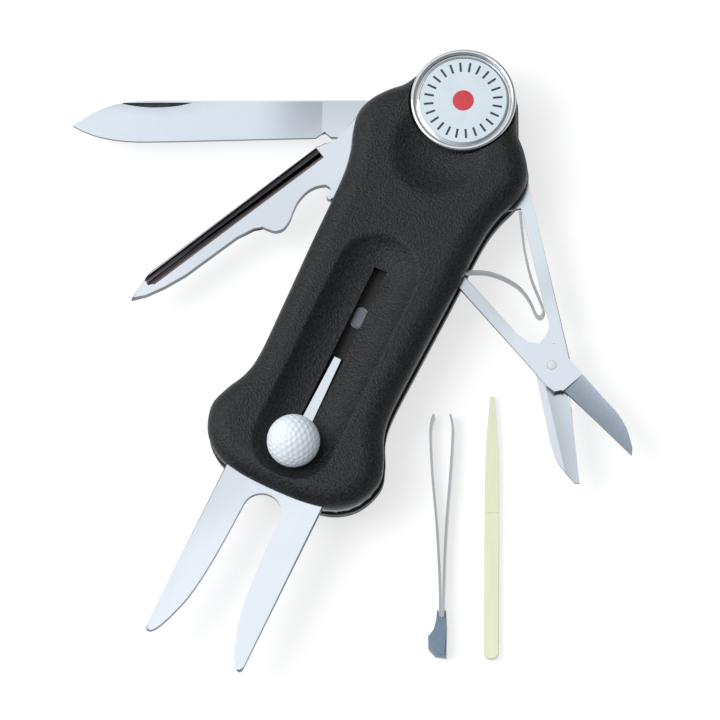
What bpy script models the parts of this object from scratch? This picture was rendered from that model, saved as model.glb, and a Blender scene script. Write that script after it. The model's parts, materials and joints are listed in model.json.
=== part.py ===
"""Divot repair pocket tool with a sliding fork, a lift-off ball marker and three folding tools.

The tool lies on its back with everything opened out. The frame is in metres: +Y runs along the
handle towards the ball marker, +X is the scissors side, +Z is up, and the origin is on the back
face, on the centre line, halfway along the handle.
"""

import math

import bmesh
import bpy

MM = 0.001

# Handle outline
HANDLE_LENGTH = 93.0 * MM
HANDLE_HALF_WIDTH = 17.6 * MM
WAIST_INSET = 3.9 * MM
HEAD_RADIUS = 10.4 * MM
LINER_INSET = 0.35 * MM

# Layers, from the back face up
BACK_FLOOR_THICKNESS = 4.6 * MM
BACK_WALL = 1.5 * MM
LINER_THICKNESS = 0.35 * MM
BLADE_THICKNESS = 1.4 * MM
CLEANER_THICKNESS = 2.0 * MM
SCISSOR_LEVER_THICKNESS = 1.1 * MM
FORK_THICKNESS = 1.3 * MM
FRONT_SHELL_THICKNESS = 4.2 * MM
SEAT_GAP = 0.05 * MM
TOOL_GAP = 0.1 * MM
PIN_CLEARANCE = 0.06 * MM
PRESS_GAP = 0.03 * MM

# Pivots and rivets
PIVOT_RADIUS = 1.2 * MM
PIVOT_INSET = 7.05 * MM
PIVOT_FROM_TOP = 15.2 * MM
RIVET_RADIUS = 1.1 * MM
RIVET_HEAD_RADIUS = 1.9 * MM
RIVET_HEAD_HEIGHT = 0.8 * MM
LOWER_RIVET_INSET = 4.3 * MM
LOWER_RIVET_FROM_END = 9.0 * MM
HEAD_RIVET_ABOVE_PIVOT = 8.0 * MM
TANG_RADIUS = 3.9 * MM
NOSE_GAP = 0.1 * MM
NOSE_HALF_HEIGHT = 1.1 * MM
SPRING_ARM_WIDTH = 3.2 * MM
SPRING_SLIT = 0.5 * MM

# Blade and groove cleaner
BLADE_LENGTH = 62.5 * MM
BLADE_HEIGHT = 7.95 * MM
BLADE_SPINE_SHARE = 0.345
BLADE_REST_DEG = 204.8
CLEANER_LENGTH = 62.6 * MM
CLEANER_REST_DEG = 243.15

# Scissors
SCISSOR_RIVET_DISTANCE = 42.4 * MM
SCISSOR_RIVET_RADIUS = 0.6 * MM
SCISSOR_RIVET_HEAD_RADIUS = 0.9 * MM
SCISSOR_RIVET_HEAD_HEIGHT = 0.12 * MM
SCISSOR_HANDLE_WIDTH = 2.3 * MM
SCISSOR_BLADE_LENGTH = 23.3 * MM
SCISSOR_REST_DEG = 308.35
LEVER_SPREAD_DEG = 28.4
SPRING_THICKNESS = 0.45 * MM

# Sliding fork and its knob
FORK_WIDTH = 20.1 * MM
FORK_REACH = 34.2 * MM
FORK_ROOT_FROM_TIP = 33.2 * MM
FORK_ROOT_RADIUS = 3.75 * MM
FORK_PLATE_INSIDE = 11.5 * MM
TONGUE_WIDTH = 1.8 * MM
TONGUE_END_FROM_KNOB = 18.95 * MM
FORK_TRAVEL = 34.5 * MM
FORK_SIDE_CLEARANCE = 0.1 * MM
KNOB_RADIUS = 5.05 * MM
KNOB_FROM_END = 9.65 * MM
KNOB_STEM_RADIUS = 1.1 * MM
KNOB_FLAT_DEPTH = 2.0 * MM
KNOB_FLOOR_CLEARANCE = 0.15 * MM
KNOB_RIVET_RADIUS = 0.6 * MM
KNOB_RIVET_HEAD_RADIUS = 1.4 * MM
KNOB_RIVET_HEAD_HEIGHT = 0.5 * MM
SLOT_WIDTH = 2.6 * MM
SLOT_END_CLEARANCE = 0.4 * MM
SLOT_TOP_SPARE = 2.0 * MM
RECESS_HALF_WIDTH = 7.8 * MM
RECESS_DEPTH = 1.7 * MM
RECESS_BEYOND_KNOB = 1.05 * MM
STUD_LENGTH = 4.0 * MM
STUD_WIDTH = 2.2 * MM
STUD_FROM_CENTRE = 9.0 * MM

# Ball marker and its seat
MARKER_DIAMETER = 20.0 * MM
MARKER_AHEAD_OF_HEAD = 0.7 * MM
MARKER_SEAT_BELOW_CROWN = 2.0 * MM
MARKER_CLEARANCE = 0.3 * MM
MARKER_HEIGHT = 2.2 * MM
MARKER_BASE = 0.6 * MM
MARKER_RIM_WIDTH = 1.15 * MM
MAGNET_RADIUS = 4.0 * MM
MAGNET_THICKNESS = 0.9 * MM
SCOOP_RADIUS = 8.8 * MM
SCOOP_DEPTH = 1.7 * MM
SCOOP_BELOW_MARKER = 10.6 * MM

# Toothpick and tweezers
TOOTHPICK_LENGTH = 51.0 * MM
TOOTHPICK_WIDTH = 2.9 * MM
TOOTHPICK_THICKNESS = 1.5 * MM
TWEEZERS_LENGTH = 47.0 * MM
TWEEZERS_WIDTH = 3.0 * MM
LEAF_THICKNESS = 0.4 * MM
STOW_CLEARANCE = 0.2 * MM
STOW_SLOT_INSET = 1.5 * MM
TOOTHPICK_PLACE = (49.81 * MM, -56.46 * MM, 0.0)
TOOTHPICK_TURN_DEG = 115.3
TWEEZERS_PLACE = (41.32 * MM, -60.23 * MM, 0.0)
TWEEZERS_TURN_DEG = 115.2

# Derived levels
BACK_LINER_Z = BACK_FLOOR_THICKNESS + SEAT_GAP
BLADE_LAYER_Z = BACK_LINER_Z + LINER_THICKNESS + SEAT_GAP
BLADE_LAYER_THICKNESS = BLADE_THICKNESS + 2 * TOOL_GAP
BACK_SHELL_TOP_Z = BLADE_LAYER_Z + BLADE_LAYER_THICKNESS
MIDDLE_LINER_Z = BACK_SHELL_TOP_Z + SEAT_GAP
TOOL_LAYER_Z = MIDDLE_LINER_Z + LINER_THICKNESS + SEAT_GAP
SCISSOR_STACK = 2 * SCISSOR_LEVER_THICKNESS + 3 * TOOL_GAP
TOOL_LAYER_THICKNESS = max(SCISSOR_STACK, CLEANER_THICKNESS + 2 * TOOL_GAP)
FRONT_LINER_Z = TOOL_LAYER_Z + TOOL_LAYER_THICKNESS + SEAT_GAP
FRONT_SHELL_Z = FRONT_LINER_Z + LINER_THICKNESS + SEAT_GAP
CROWN_Z = FRONT_SHELL_Z + FRONT_SHELL_THICKNESS
FORK_Z = FRONT_SHELL_Z + TOOL_GAP
FORK_CEILING_Z = FORK_Z + FORK_THICKNESS + TOOL_GAP
RECESS_FLOOR_Z = CROWN_Z - RECESS_DEPTH
MARKER_SEAT_Z = CROWN_Z - MARKER_SEAT_BELOW_CROWN

# Derived places
BOTTOM_Y = -HANDLE_LENGTH / 2
TOP_Y = HANDLE_LENGTH / 2
HEAD_Y = TOP_Y - HEAD_RADIUS
MARKER_Y = HEAD_Y + MARKER_AHEAD_OF_HEAD
PIVOT_X = HANDLE_HALF_WIDTH - PIVOT_INSET
PIVOT_Y = TOP_Y - PIVOT_FROM_TOP
LOWER_RIVET_X = HANDLE_HALF_WIDTH - LOWER_RIVET_INSET
LOWER_RIVET_Y = BOTTOM_Y + LOWER_RIVET_FROM_END
KNOB_Y = BOTTOM_Y + KNOB_FROM_END
KNOB_Z = RECESS_FLOOR_Z + KNOB_FLOOR_CLEARANCE + KNOB_FLAT_DEPTH
FORK_TIP_Y = BOTTOM_Y - FORK_REACH
BLADE_WELL_X = -PIVOT_X + BLADE_HEIGHT * (1 - BLADE_SPINE_SHARE) + 0.4 * MM
BLADE_WELL_END = PIVOT_Y - BLADE_LENGTH - 1.5 * MM


def material(name, color, roughness, metallic=0.0):
    made = bpy.data.materials.new(name)
    made.use_nodes = True
    shader = made.node_tree.nodes["Principled BSDF"]
    shader.inputs["Base Color"].default_value = (*color, 1.0)
    shader.inputs["Roughness"].default_value = roughness
    shader.inputs["Metallic"].default_value = metallic
    return made


def circle(x, y, radius, sides=16, start=0.0, turn=360.0):
    """Points of a circle, or of an arc whose two ends are both kept."""
    whole = abs(turn) >= 360.0
    steps = sides if whole else sides - 1
    angles = [math.radians(start + turn * i / steps) for i in range(sides)]
    return [(x + radius * math.cos(a), y + radius * math.sin(a)) for a in angles]


def stadium(x, low, high, radius, sides=12):
    """A slot's outline: two half rounds, about (x, high) and (x, low), joined by straight sides."""
    return circle(x, high, radius, sides, 0, 180) + circle(x, low, radius, sides, 180, 180)


def box_outline(x0, y0, x1, y1):
    return [(x0, y0), (x1, y0), (x1, y1), (x0, y1)]


def smooth(points, steps=4, closed=False):
    """A Catmull-Rom curve through the points."""
    count = len(points)
    spans = count if closed else count - 1
    found = []
    for i in range(spans):
        if closed:
            near = [points[(i + k - 1) % count] for k in range(4)]
        else:
            near = [points[min(max(i + k - 1, 0), count - 1)] for k in range(4)]
        for step in range(steps):
            t = step / steps
            weights = (
                (-t + 2 * t**2 - t**3) / 2,
                (2 - 5 * t**2 + 3 * t**3) / 2,
                (t + 4 * t**2 - 3 * t**3) / 2,
                (-(t**2) + t**3) / 2,
            )
            found.append(tuple(sum(w * p[axis] for w, p in zip(weights, near)) for axis in (0, 1)))
    if not closed:
        found.append(tuple(points[-1]))
    return found


def in_mm(*points):
    return [(x * MM, y * MM) for x, y in points]


def offset(outline, distance):
    """The closed outline moved inwards, along the normal at each of its points."""
    moved = []
    for i, (x, y) in enumerate(outline):
        ax, ay = outline[i - 1]
        bx, by = outline[(i + 1) % len(outline)]
        length = math.hypot(bx - ax, by - ay)
        moved.append((x - distance * (by - ay) / length, y + distance * (bx - ax) / length))
    return moved


def handle_outline(steps=3):
    """The handle seen from the front, anticlockwise from the middle of its lower end."""
    full = HANDLE_HALF_WIDTH
    waist = full - WAIST_INSET
    side = [
        (0.0, BOTTOM_Y),
        (full - 10.6 * MM, BOTTOM_Y + 0.35 * MM),
        (full - 5.4 * MM, BOTTOM_Y + 1.7 * MM),
        (full - 1.7 * MM, BOTTOM_Y + 4.9 * MM),
        (full, BOTTOM_Y + 9.8 * MM),
        (full - 1.1 * MM, BOTTOM_Y + 14.0 * MM),
        (full - 3.1 * MM, BOTTOM_Y + 18.2 * MM),
        (waist, BOTTOM_Y + 23.0 * MM),
        (waist + 0.2 * MM, -13.0 * MM),
        (waist + 0.6 * MM, 0.0),
        (waist + 0.9 * MM, TOP_Y - 33.0 * MM),
        (full - 2.2 * MM, TOP_Y - 27.5 * MM),
        (full - 0.8 * MM, TOP_Y - 23.2 * MM),
        (full - 0.2 * MM, TOP_Y - 19.5 * MM),
        (full - 1.2 * MM, TOP_Y - 16.2 * MM),
        (full - 3.3 * MM, TOP_Y - 13.3 * MM),
        (full - 5.7 * MM, TOP_Y - 10.9 * MM),
        (HEAD_RADIUS + 0.2 * MM, HEAD_Y + 1.9 * MM),
    ]
    side += circle(0.0, HEAD_Y, HEAD_RADIUS, 5, 20, 70)
    left = [(-x, y) for x, y in reversed(side[1:-1])]
    return smooth(side + left, steps, closed=True)


def loft(rings):
    """A closed solid through rings of one point count, each (z, outline), with flat ends."""
    mesh = bmesh.new()
    made = [[mesh.verts.new((x, y, z)) for x, y in outline] for z, outline in rings]
    mesh.faces.new(reversed(made[0]))
    mesh.faces.new(made[-1])
    for low, high in zip(made, made[1:]):
        for i in range(len(low)):
            j = (i + 1) % len(low)
            mesh.faces.new((low[i], low[j], high[j], high[i]))
    return mesh


def solid(name, mesh, finish=None, place=(0.0, 0.0, 0.0), turn_deg=0.0):
    """An object from a mesh, with outward normals and smooth round sides. No finish means a cutter."""
    bmesh.ops.recalc_face_normals(mesh, faces=mesh.faces)
    data = bpy.data.meshes.new(name)
    mesh.to_mesh(data)
    mesh.free()
    data.shade_smooth()
    data.set_sharp_from_angle(angle=math.radians(35))
    made = bpy.data.objects.new(name, data)
    made.location = place
    made.rotation_euler.z = math.radians(turn_deg)
    bpy.context.collection.objects.link(made)
    if finish is None:
        made.hide_render = True
        made.display_type = "WIRE"
    else:
        data.materials.append(finish)
    return made


def plate(name, outline, low, high, finish=None, place=(0.0, 0.0, 0.0), turn_deg=0.0):
    """A flat plate of one outline between two heights."""
    return solid(name, loft([(low, outline), (high, outline)]), finish, place, turn_deg)


def turned(name, profile, x, y, finish=None, sides=24):
    """A round solid from (radius, z) steps, lowest first, about the upright axis at (x, y)."""
    return solid(name, loft([(z, circle(x, y, radius, sides)) for radius, z in profile]), finish)


def cut(body, *cutters):
    for cutter in cutters:
        modifier = body.modifiers.new(cutter.name, "BOOLEAN")
        modifier.operation = "DIFFERENCE"
        modifier.object = cutter


def placed(outline, x, y, turn_deg=0.0):
    """An outline turned about its own origin and then moved to (x, y)."""
    c, s = math.cos(math.radians(turn_deg)), math.sin(math.radians(turn_deg))
    return [(x + c * u - s * v, y + s * u + c * v) for u, v in outline]


for leftover in list(bpy.data.objects):
    bpy.data.objects.remove(leftover)

NYLON = material("black_nylon", (0.018, 0.019, 0.021), 0.5)
STEEL = material("polished_steel", (0.62, 0.64, 0.66), 0.18, 1.0)
SATIN = material("satin_steel", (0.5, 0.52, 0.54), 0.35, 1.0)
BRASS = material("brass", (0.72, 0.55, 0.28), 0.3, 1.0)
CHROME = material("chrome", (0.8, 0.81, 0.82), 0.08, 1.0)
WHITE = material("white_plastic", (0.82, 0.84, 0.86), 0.35)
DISC = material("marker_disc", (0.66, 0.72, 0.78), 0.3)
MAGNET = material("magnet_nickel", (0.6, 0.6, 0.58), 0.25, 1.0)
IVORY = material("ivory_plastic", (0.78, 0.78, 0.55), 0.4)
GREY = material("blue_grey_plastic", (0.28, 0.34, 0.42), 0.4)

OUTLINE = handle_outline()
PLATE_OUTLINE = offset(handle_outline(2), LINER_INSET)
POCKET_OUTLINE = offset(OUTLINE, BACK_WALL)
POCKET_PLATE_OUTLINE = offset(handle_outline(2), BACK_WALL + SEAT_GAP * 2)

RIVET_HOLES = {
    "left_pivot_hole": (-PIVOT_X, PIVOT_Y, PIVOT_RADIUS),
    "right_pivot_hole": (PIVOT_X, PIVOT_Y, PIVOT_RADIUS),
    "left_lower_hole": (-LOWER_RIVET_X, LOWER_RIVET_Y, RIVET_RADIUS),
    "right_lower_hole": (LOWER_RIVET_X, LOWER_RIVET_Y, RIVET_RADIUS),
    "head_hole": (0.0, PIVOT_Y + HEAD_RIVET_ABOVE_PIVOT, RIVET_RADIUS),
}
HEAD_LOW_Z = BACK_LINER_Z - SEAT_GAP - RIVET_HEAD_HEIGHT
HEAD_HIGH_Z = FRONT_LINER_Z + LINER_THICKNESS + SEAT_GAP


def rivet_hole_cutters():
    """One cutter for each rivet's hole through every layer, and one for each pocket of its heads."""
    holes, pockets = [], []
    for name, (x, y, radius) in RIVET_HOLES.items():
        hole = circle(x, y, radius + PIN_CLEARANCE)
        holes.append(plate(name, hole, BACK_LINER_Z - 1 * MM, HEAD_HIGH_Z + 1 * MM))
        pocket = circle(x, y, RIVET_HEAD_RADIUS + PIN_CLEARANCE)
        top = HEAD_HIGH_Z + RIVET_HEAD_HEIGHT + SEAT_GAP
        pockets.append(plate(name + "_head_pockets", pocket, HEAD_LOW_Z - SEAT_GAP, top))
    return holes, pockets


HOLES, POCKETS = rivet_hole_cutters()


def make_shells():
    """The two moulded nylon halves, with their rounded edges, recess, channels and pockets."""
    edge = [(0.0, 0.0), (0.25, 0.0), (0.46, 0.2), (0.66, 0.8), (0.83, 1.7), (0.94, 2.8), (1.0, 4.4)]
    rings = [(FRONT_SHELL_Z + t * FRONT_SHELL_THICKNESS, offset(OUTLINE, d * MM)) for t, d in edge]
    front = solid("front_shell", loft(rings), NYLON)

    # The knob's trough is deepest along its middle.
    low, high = KNOB_Y + 0.5 * RECESS_BEYOND_KNOB, KNOB_Y + FORK_TRAVEL + 1.5 * RECESS_BEYOND_KNOB
    trough = [(0.0, 0.62), (0.12, 0.8), (0.4, 0.93), (1.0, 1.0), (2.0, 1.02)]
    rings = [
        (RECESS_FLOOR_Z + t * RECESS_DEPTH, stadium(0.0, low, high, RECESS_HALF_WIDTH * share))
        for t, share in trough
    ]
    cut(front, solid("knob_recess", loft(rings)))

    slot_low = KNOB_Y - KNOB_STEM_RADIUS - SLOT_END_CLEARANCE
    slot_high = KNOB_Y + FORK_TRAVEL + KNOB_STEM_RADIUS + SLOT_TOP_SPARE
    half = SLOT_WIDTH / 2
    cut(front, plate("knob_slot", box_outline(-half, slot_low, half, slot_high), FORK_Z, CROWN_Z))

    # The fork's channel is open at the lower end, and its tongue runs on in a narrow one.
    half = FORK_WIDTH / 2 + FORK_SIDE_CLEARANCE
    plate_end = BOTTOM_Y + FORK_PLATE_INSIDE + FORK_TRAVEL + TOOL_GAP
    channel = box_outline(-half, BOTTOM_Y - 5 * MM, half, plate_end)
    under = FRONT_SHELL_Z - 1 * MM
    cut(front, plate("fork_channel", channel, under, FORK_CEILING_Z))
    half = SLOT_WIDTH / 2
    tongue_end = KNOB_Y + TONGUE_END_FROM_KNOB + FORK_TRAVEL + SLOT_END_CLEARANCE
    tongue = box_outline(-half, plate_end - 1 * MM, half, tongue_end)
    cut(front, plate("tongue_channel", tongue, under, FORK_CEILING_Z))

    # The marker's seat, its magnet's pocket, and the scoop that lets a thumb lift the marker.
    seat_outline = circle(0, MARKER_Y, MARKER_DIAMETER / 2 + MARKER_CLEARANCE, 48)
    seat = plate("marker_seat", seat_outline, MARKER_SEAT_Z, CROWN_Z + 1 * MM)
    pocket_depth = MAGNET_THICKNESS + SEAT_GAP
    pocket = circle(0, MARKER_Y, MAGNET_RADIUS + PIN_CLEARANCE, 32)
    magnet = plate("magnet_pocket", pocket, MARKER_SEAT_Z - pocket_depth, CROWN_Z)
    scoop_y = MARKER_Y - SCOOP_BELOW_MARKER
    dish = [(0.0, 0.62), (0.2, 0.8), (0.55, 0.94), (1.0, 1.0), (1.5, 1.04)]
    rings = [
        (CROWN_Z - SCOOP_DEPTH * (1 - t), circle(0, scoop_y, SCOOP_RADIUS * share, 40))
        for t, share in dish
    ]
    cut(front, seat, magnet, solid("thumb_scoop", loft(rings)), *POCKETS)

    edge = [(0.0, 4.7), (0.1, 3.4), (0.27, 2.1), (0.47, 1.1), (0.66, 0.42), (0.8, 0.1), (0.89, 0.0)]
    edge.append((1.0, 0.0))
    rings = [(t * BACK_SHELL_TOP_Z, offset(OUTLINE, d * MM)) for t, d in edge]
    back = solid("back_shell", loft(rings), NYLON)
    over = BACK_SHELL_TOP_Z + 1 * MM
    pocket = plate("blade_layer_pocket", POCKET_OUTLINE, BACK_FLOOR_THICKNESS, over)
    # The wall is open along the side that the blade folds into.
    side = box_outline(-2 * HANDLE_HALF_WIDTH, BLADE_WELL_END, BLADE_WELL_X - 0.5 * MM, TOP_Y + 5 * MM)
    opening = plate("blade_side_opening", side, BACK_FLOOR_THICKNESS, over)
    cut(back, pocket, opening, *POCKETS, *stow_slots())


def stow_slots():
    """Slots in the back half for the toothpick and the tweezers, open at the lower end."""
    low = BOTTOM_Y - 1 * MM
    top = BACK_FLOOR_THICKNESS + SEAT_GAP
    pick_half = TOOTHPICK_WIDTH / 2 + STOW_CLEARANCE
    pick_x = pick_half + STOW_SLOT_INSET
    pick_floor = BACK_FLOOR_THICKNESS - TOOTHPICK_THICKNESS - STOW_CLEARANCE
    pick = box_outline(pick_x - pick_half, low, pick_x + pick_half, BOTTOM_Y + TOOTHPICK_LENGTH)
    tweezers_half = TWEEZERS_WIDTH / 2 + STOW_CLEARANCE
    tweezers_x = -tweezers_half - STOW_SLOT_INSET
    tweezers_floor = BACK_FLOOR_THICKNESS - 4 * LEAF_THICKNESS - 2 * STOW_CLEARANCE
    tweezers = box_outline(
        tweezers_x - tweezers_half, low, tweezers_x + tweezers_half, BOTTOM_Y + TWEEZERS_LENGTH
    )
    return (
        plate("toothpick_slot", pick, pick_floor, top),
        plate("tweezers_slot", tweezers, tweezers_floor, top),
    )


def make_liners():
    """Thin steel liners, one on each side of every layer of tools."""
    for name, outline, low in (
        ("back_liner", POCKET_PLATE_OUTLINE, BACK_LINER_Z),
        ("middle_liner", PLATE_OUTLINE, MIDDLE_LINER_Z),
        ("front_liner", PLATE_OUTLINE, FRONT_LINER_Z),
    ):
        liner = plate(name, outline, low, low + LINER_THICKNESS, STEEL)
        cut(liner, *HOLES)
        if name == "front_liner":
            cut(liner, stud_cutter())


def stud_outline(grow=0.0):
    half = (STUD_LENGTH - STUD_WIDTH) / 2
    return stadium(0.0, -STUD_FROM_CENTRE - half, -STUD_FROM_CENTRE + half, STUD_WIDTH / 2 + grow, 8)


def stud_cutter():
    low, high = FRONT_LINER_Z - 1 * MM, FRONT_LINER_Z + LINER_THICKNESS + 1 * MM
    return plate("stud_hole", stud_outline(PIN_CLEARANCE), low, high)


def make_stud():
    """The oval stud that fills its hole in the front liner and shows through the knob's slot."""
    low = FRONT_LINER_Z - 2 * SEAT_GAP
    plate("slot_stud", stud_outline(), low, FRONT_LINER_Z + LINER_THICKNESS + SEAT_GAP, STEEL)


def make_blade_backspring():
    """The blade's spring plate: its arm runs up beside the well and ends in a nose on the tang."""
    low, high = BLADE_LAYER_Z, BLADE_LAYER_Z + BLADE_LAYER_THICKNESS
    under, over = low - 1 * MM, high + 1 * MM
    body = plate("blade_backspring", POCKET_PLATE_OUTLINE, low, high, SATIN)
    side, end = BLADE_WELL_X, BLADE_WELL_END
    nose_x = -PIVOT_X + TANG_RADIUS + NOSE_GAP
    far, top = -2 * HANDLE_HALF_WIDTH, TOP_Y + 5 * MM
    nose_low, nose_high = PIVOT_Y - NOSE_HALF_HEIGHT, PIVOT_Y + NOSE_HALF_HEIGHT
    well = [(far, end), (side, end), (side, nose_low), (nose_x, nose_low), (nose_x, nose_high)]
    well += [(side, nose_high), (side, top), (far, top)]
    arm_x = side + SPRING_ARM_WIDTH
    slit = box_outline(arm_x, end + 3 * MM, arm_x + SPRING_SLIT, PIVOT_Y + 4 * MM)
    cut(body, plate("blade_well", well, under, over))
    cut(body, plate("blade_spring_slit", slit, under, over), *HOLES)


def make_tool_layer():
    """The layer of the cleaner and the scissors: a two-armed spring at the head, a spacer below.

    Each arm of the spring bears on one tool's tang. Between it and the spacer the layer is open,
    so that the cleaner folds in from one side and the scissors from the other.
    """
    low, high = TOOL_LAYER_Z, TOOL_LAYER_Z + TOOL_LAYER_THICKNESS
    under, over = low - 1 * MM, high + 1 * MM
    wide = 2 * HANDLE_HALF_WIDTH
    spacer_top = PIVOT_Y - SCISSOR_RIVET_DISTANCE - SCISSOR_BLADE_LENGTH - 1.2 * MM
    spacer = plate("lower_spacer", PLATE_OUTLINE, low, high, STEEL)
    above = box_outline(-wide, spacer_top, wide, TOP_Y + 5 * MM)
    cut(spacer, plate("above_spacer", above, under, over), *HOLES)

    spring = plate("tool_backspring", PLATE_OUTLINE, low, high, SATIN)
    nose_x = PIVOT_X - TANG_RADIUS - NOSE_GAP
    arm_x, head_x = nose_x - 1.6 * MM, nose_x - 1.4 * MM
    arm_end, top = PIVOT_Y - 7 * MM, TOP_Y + 5 * MM
    nose_low, nose_high = PIVOT_Y - NOSE_HALF_HEIGHT, PIVOT_Y + NOSE_HALF_HEIGHT
    edge = [(arm_x, arm_end), (arm_x, nose_low), (nose_x, nose_low), (nose_x, nose_high)]
    edge += [(head_x, nose_high), (head_x, top)]
    for side, name in ((1, "scissor_well"), (-1, "cleaner_well")):
        well = [(side * x, y) for x, y in edge] + [(side * wide, top), (side * wide, arm_end)]
        cut(spring, plate(name, well[::side], under, over))
    half_slit = arm_x - SPRING_ARM_WIDTH
    slit = box_outline(-half_slit, arm_end - 1 * MM, half_slit, PIVOT_Y + 3 * MM)
    below = box_outline(-wide, BOTTOM_Y - 5 * MM, wide, arm_end)
    cut(spring, plate("below_spring", below, under, over))
    cut(spring, plate("tool_spring_slit", slit, under, over), *HOLES)


def make_rivets():
    """Brass rivets through the stack. Their heads lie in pockets of the two shells."""
    for name, (x, y, radius) in RIVET_HOLES.items():
        profile = [
            (RIVET_HEAD_RADIUS * 0.8, HEAD_LOW_Z),
            (RIVET_HEAD_RADIUS, HEAD_LOW_Z + RIVET_HEAD_HEIGHT * 0.4),
            (RIVET_HEAD_RADIUS, HEAD_LOW_Z + RIVET_HEAD_HEIGHT),
            (radius, HEAD_LOW_Z + RIVET_HEAD_HEIGHT + SEAT_GAP / 10),
            (radius, HEAD_HIGH_Z - SEAT_GAP / 10),
            (RIVET_HEAD_RADIUS, HEAD_HIGH_Z),
            (RIVET_HEAD_RADIUS, HEAD_HIGH_Z + RIVET_HEAD_HEIGHT * 0.6),
            (RIVET_HEAD_RADIUS * 0.8, HEAD_HIGH_Z + RIVET_HEAD_HEIGHT),
        ]
        turned(name.replace("hole", "rivet"), profile, x, y, BRASS, sides=16)


def bore(name, low, high, place, radius=PIVOT_RADIUS + PIN_CLEARANCE):
    """A pivot's bore through a moving tool."""
    return plate(name, circle(0, 0, radius), low - 1 * MM, high + 1 * MM, place=place)


def make_blade():
    """The plain blade. Its outline runs out along +X from the pivot, with the spine on -Y."""
    length = BLADE_LENGTH
    spine = BLADE_HEIGHT * BLADE_SPINE_SHARE
    edge = BLADE_HEIGHT - spine
    tip = [
        (length - 13.9 * MM, -spine),
        (length - 8.0 * MM, -spine + 0.75 * MM),
        (length - 4.0 * MM, -spine + 2.4 * MM),
        (length, -spine + 4.8 * MM),
        (length - 2.5 * MM, edge - 2.1 * MM),
        (length - 5.6 * MM, edge - 0.9 * MM),
        (length - 11.9 * MM, edge),
        (length - 19.0 * MM, edge - 0.05 * MM),
    ]
    choil = [
        (16.4 * MM, edge - 0.7 * MM),
        (14.7 * MM, edge - 1.9 * MM),
        (13.5 * MM, edge - 0.7 * MM),
        (11.0 * MM, edge - 0.6 * MM),
    ]
    tang = [(7.5 * MM, edge - 0.6 * MM), (4.5 * MM, TANG_RADIUS - 0.2 * MM)]
    back = circle(0, 0, TANG_RADIUS, 10, 90, 150)
    outline = [(4.0 * MM, -spine)] + smooth(tip) + choil + tang + back
    low = BLADE_LAYER_Z + TOOL_GAP
    place = (-PIVOT_X, PIVOT_Y, 0.0)
    high = low + BLADE_THICKNESS
    blade = plate("blade", outline, low, high, STEEL, place, BLADE_REST_DEG)
    cut(blade, bore("blade_bore", low, high, place))


def make_cleaner():
    """The groove cleaner, with the cap lifter's hook on its lower edge, on the blade's own pivot."""
    length = CLEANER_LENGTH
    edge = [
        (length, -2.24 * MM),
        (length - 2.5 * MM, -1.19 * MM),
        (length - 6.3 * MM, -0.29 * MM),
        (length - 10.8 * MM, 0.31 * MM),
        (39.6 * MM, 0.46 * MM),
        (36.0 * MM, 0.96 * MM),
    ]
    hook = smooth(
        in_mm((34.7, 1.66), (34.0, 2.91), (33.2, 4.01), (31.8, 4.56), (30.0, 4.11), (28.2, 3.01))
        + in_mm((26.2, 2.01), (23.8, 1.56), (21.8, 1.86), (20.1, 2.81), (19.8, 3.81), (20.6, 4.51))
        + in_mm((21.6, 4.81), (21.2, 5.71))
    )
    tang = in_mm((19.1, 5.9), (10.0, 5.0)) + [(4.5 * MM, TANG_RADIUS - 0.2 * MM)]
    back = circle(0, 0, TANG_RADIUS, 9, 90, 130)
    spine = in_mm((2.4, -4.0), (7.0, -4.5), (10.6, -3.5), (13.8, -2.8), (15.2, -3.8), (16.8, -4.24))
    spine += [(length - 6.0 * MM, -4.24 * MM), (length - 3.8 * MM, -3.69 * MM)]
    outline = edge + hook + tang + back + spine
    low = TOOL_LAYER_Z + (TOOL_LAYER_THICKNESS - CLEANER_THICKNESS) / 2
    place = (-PIVOT_X, PIVOT_Y, 0.0)
    high = low + CLEANER_THICKNESS
    cleaner = plate("groove_cleaner", outline, low, high, STEEL, place, CLEANER_REST_DEG)
    cut(cleaner, bore("cleaner_bore", low, high, place))


SCISSOR_RIVET_X = PIVOT_X + SCISSOR_RIVET_DISTANCE * math.cos(math.radians(SCISSOR_REST_DEG))
SCISSOR_RIVET_Y = PIVOT_Y + SCISSOR_RIVET_DISTANCE * math.sin(math.radians(SCISSOR_REST_DEG))
LONG_LEVER_Z = TOOL_LAYER_Z + TOOL_GAP
SHORT_LEVER_Z = LONG_LEVER_Z + SCISSOR_LEVER_THICKNESS + TOOL_GAP


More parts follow.
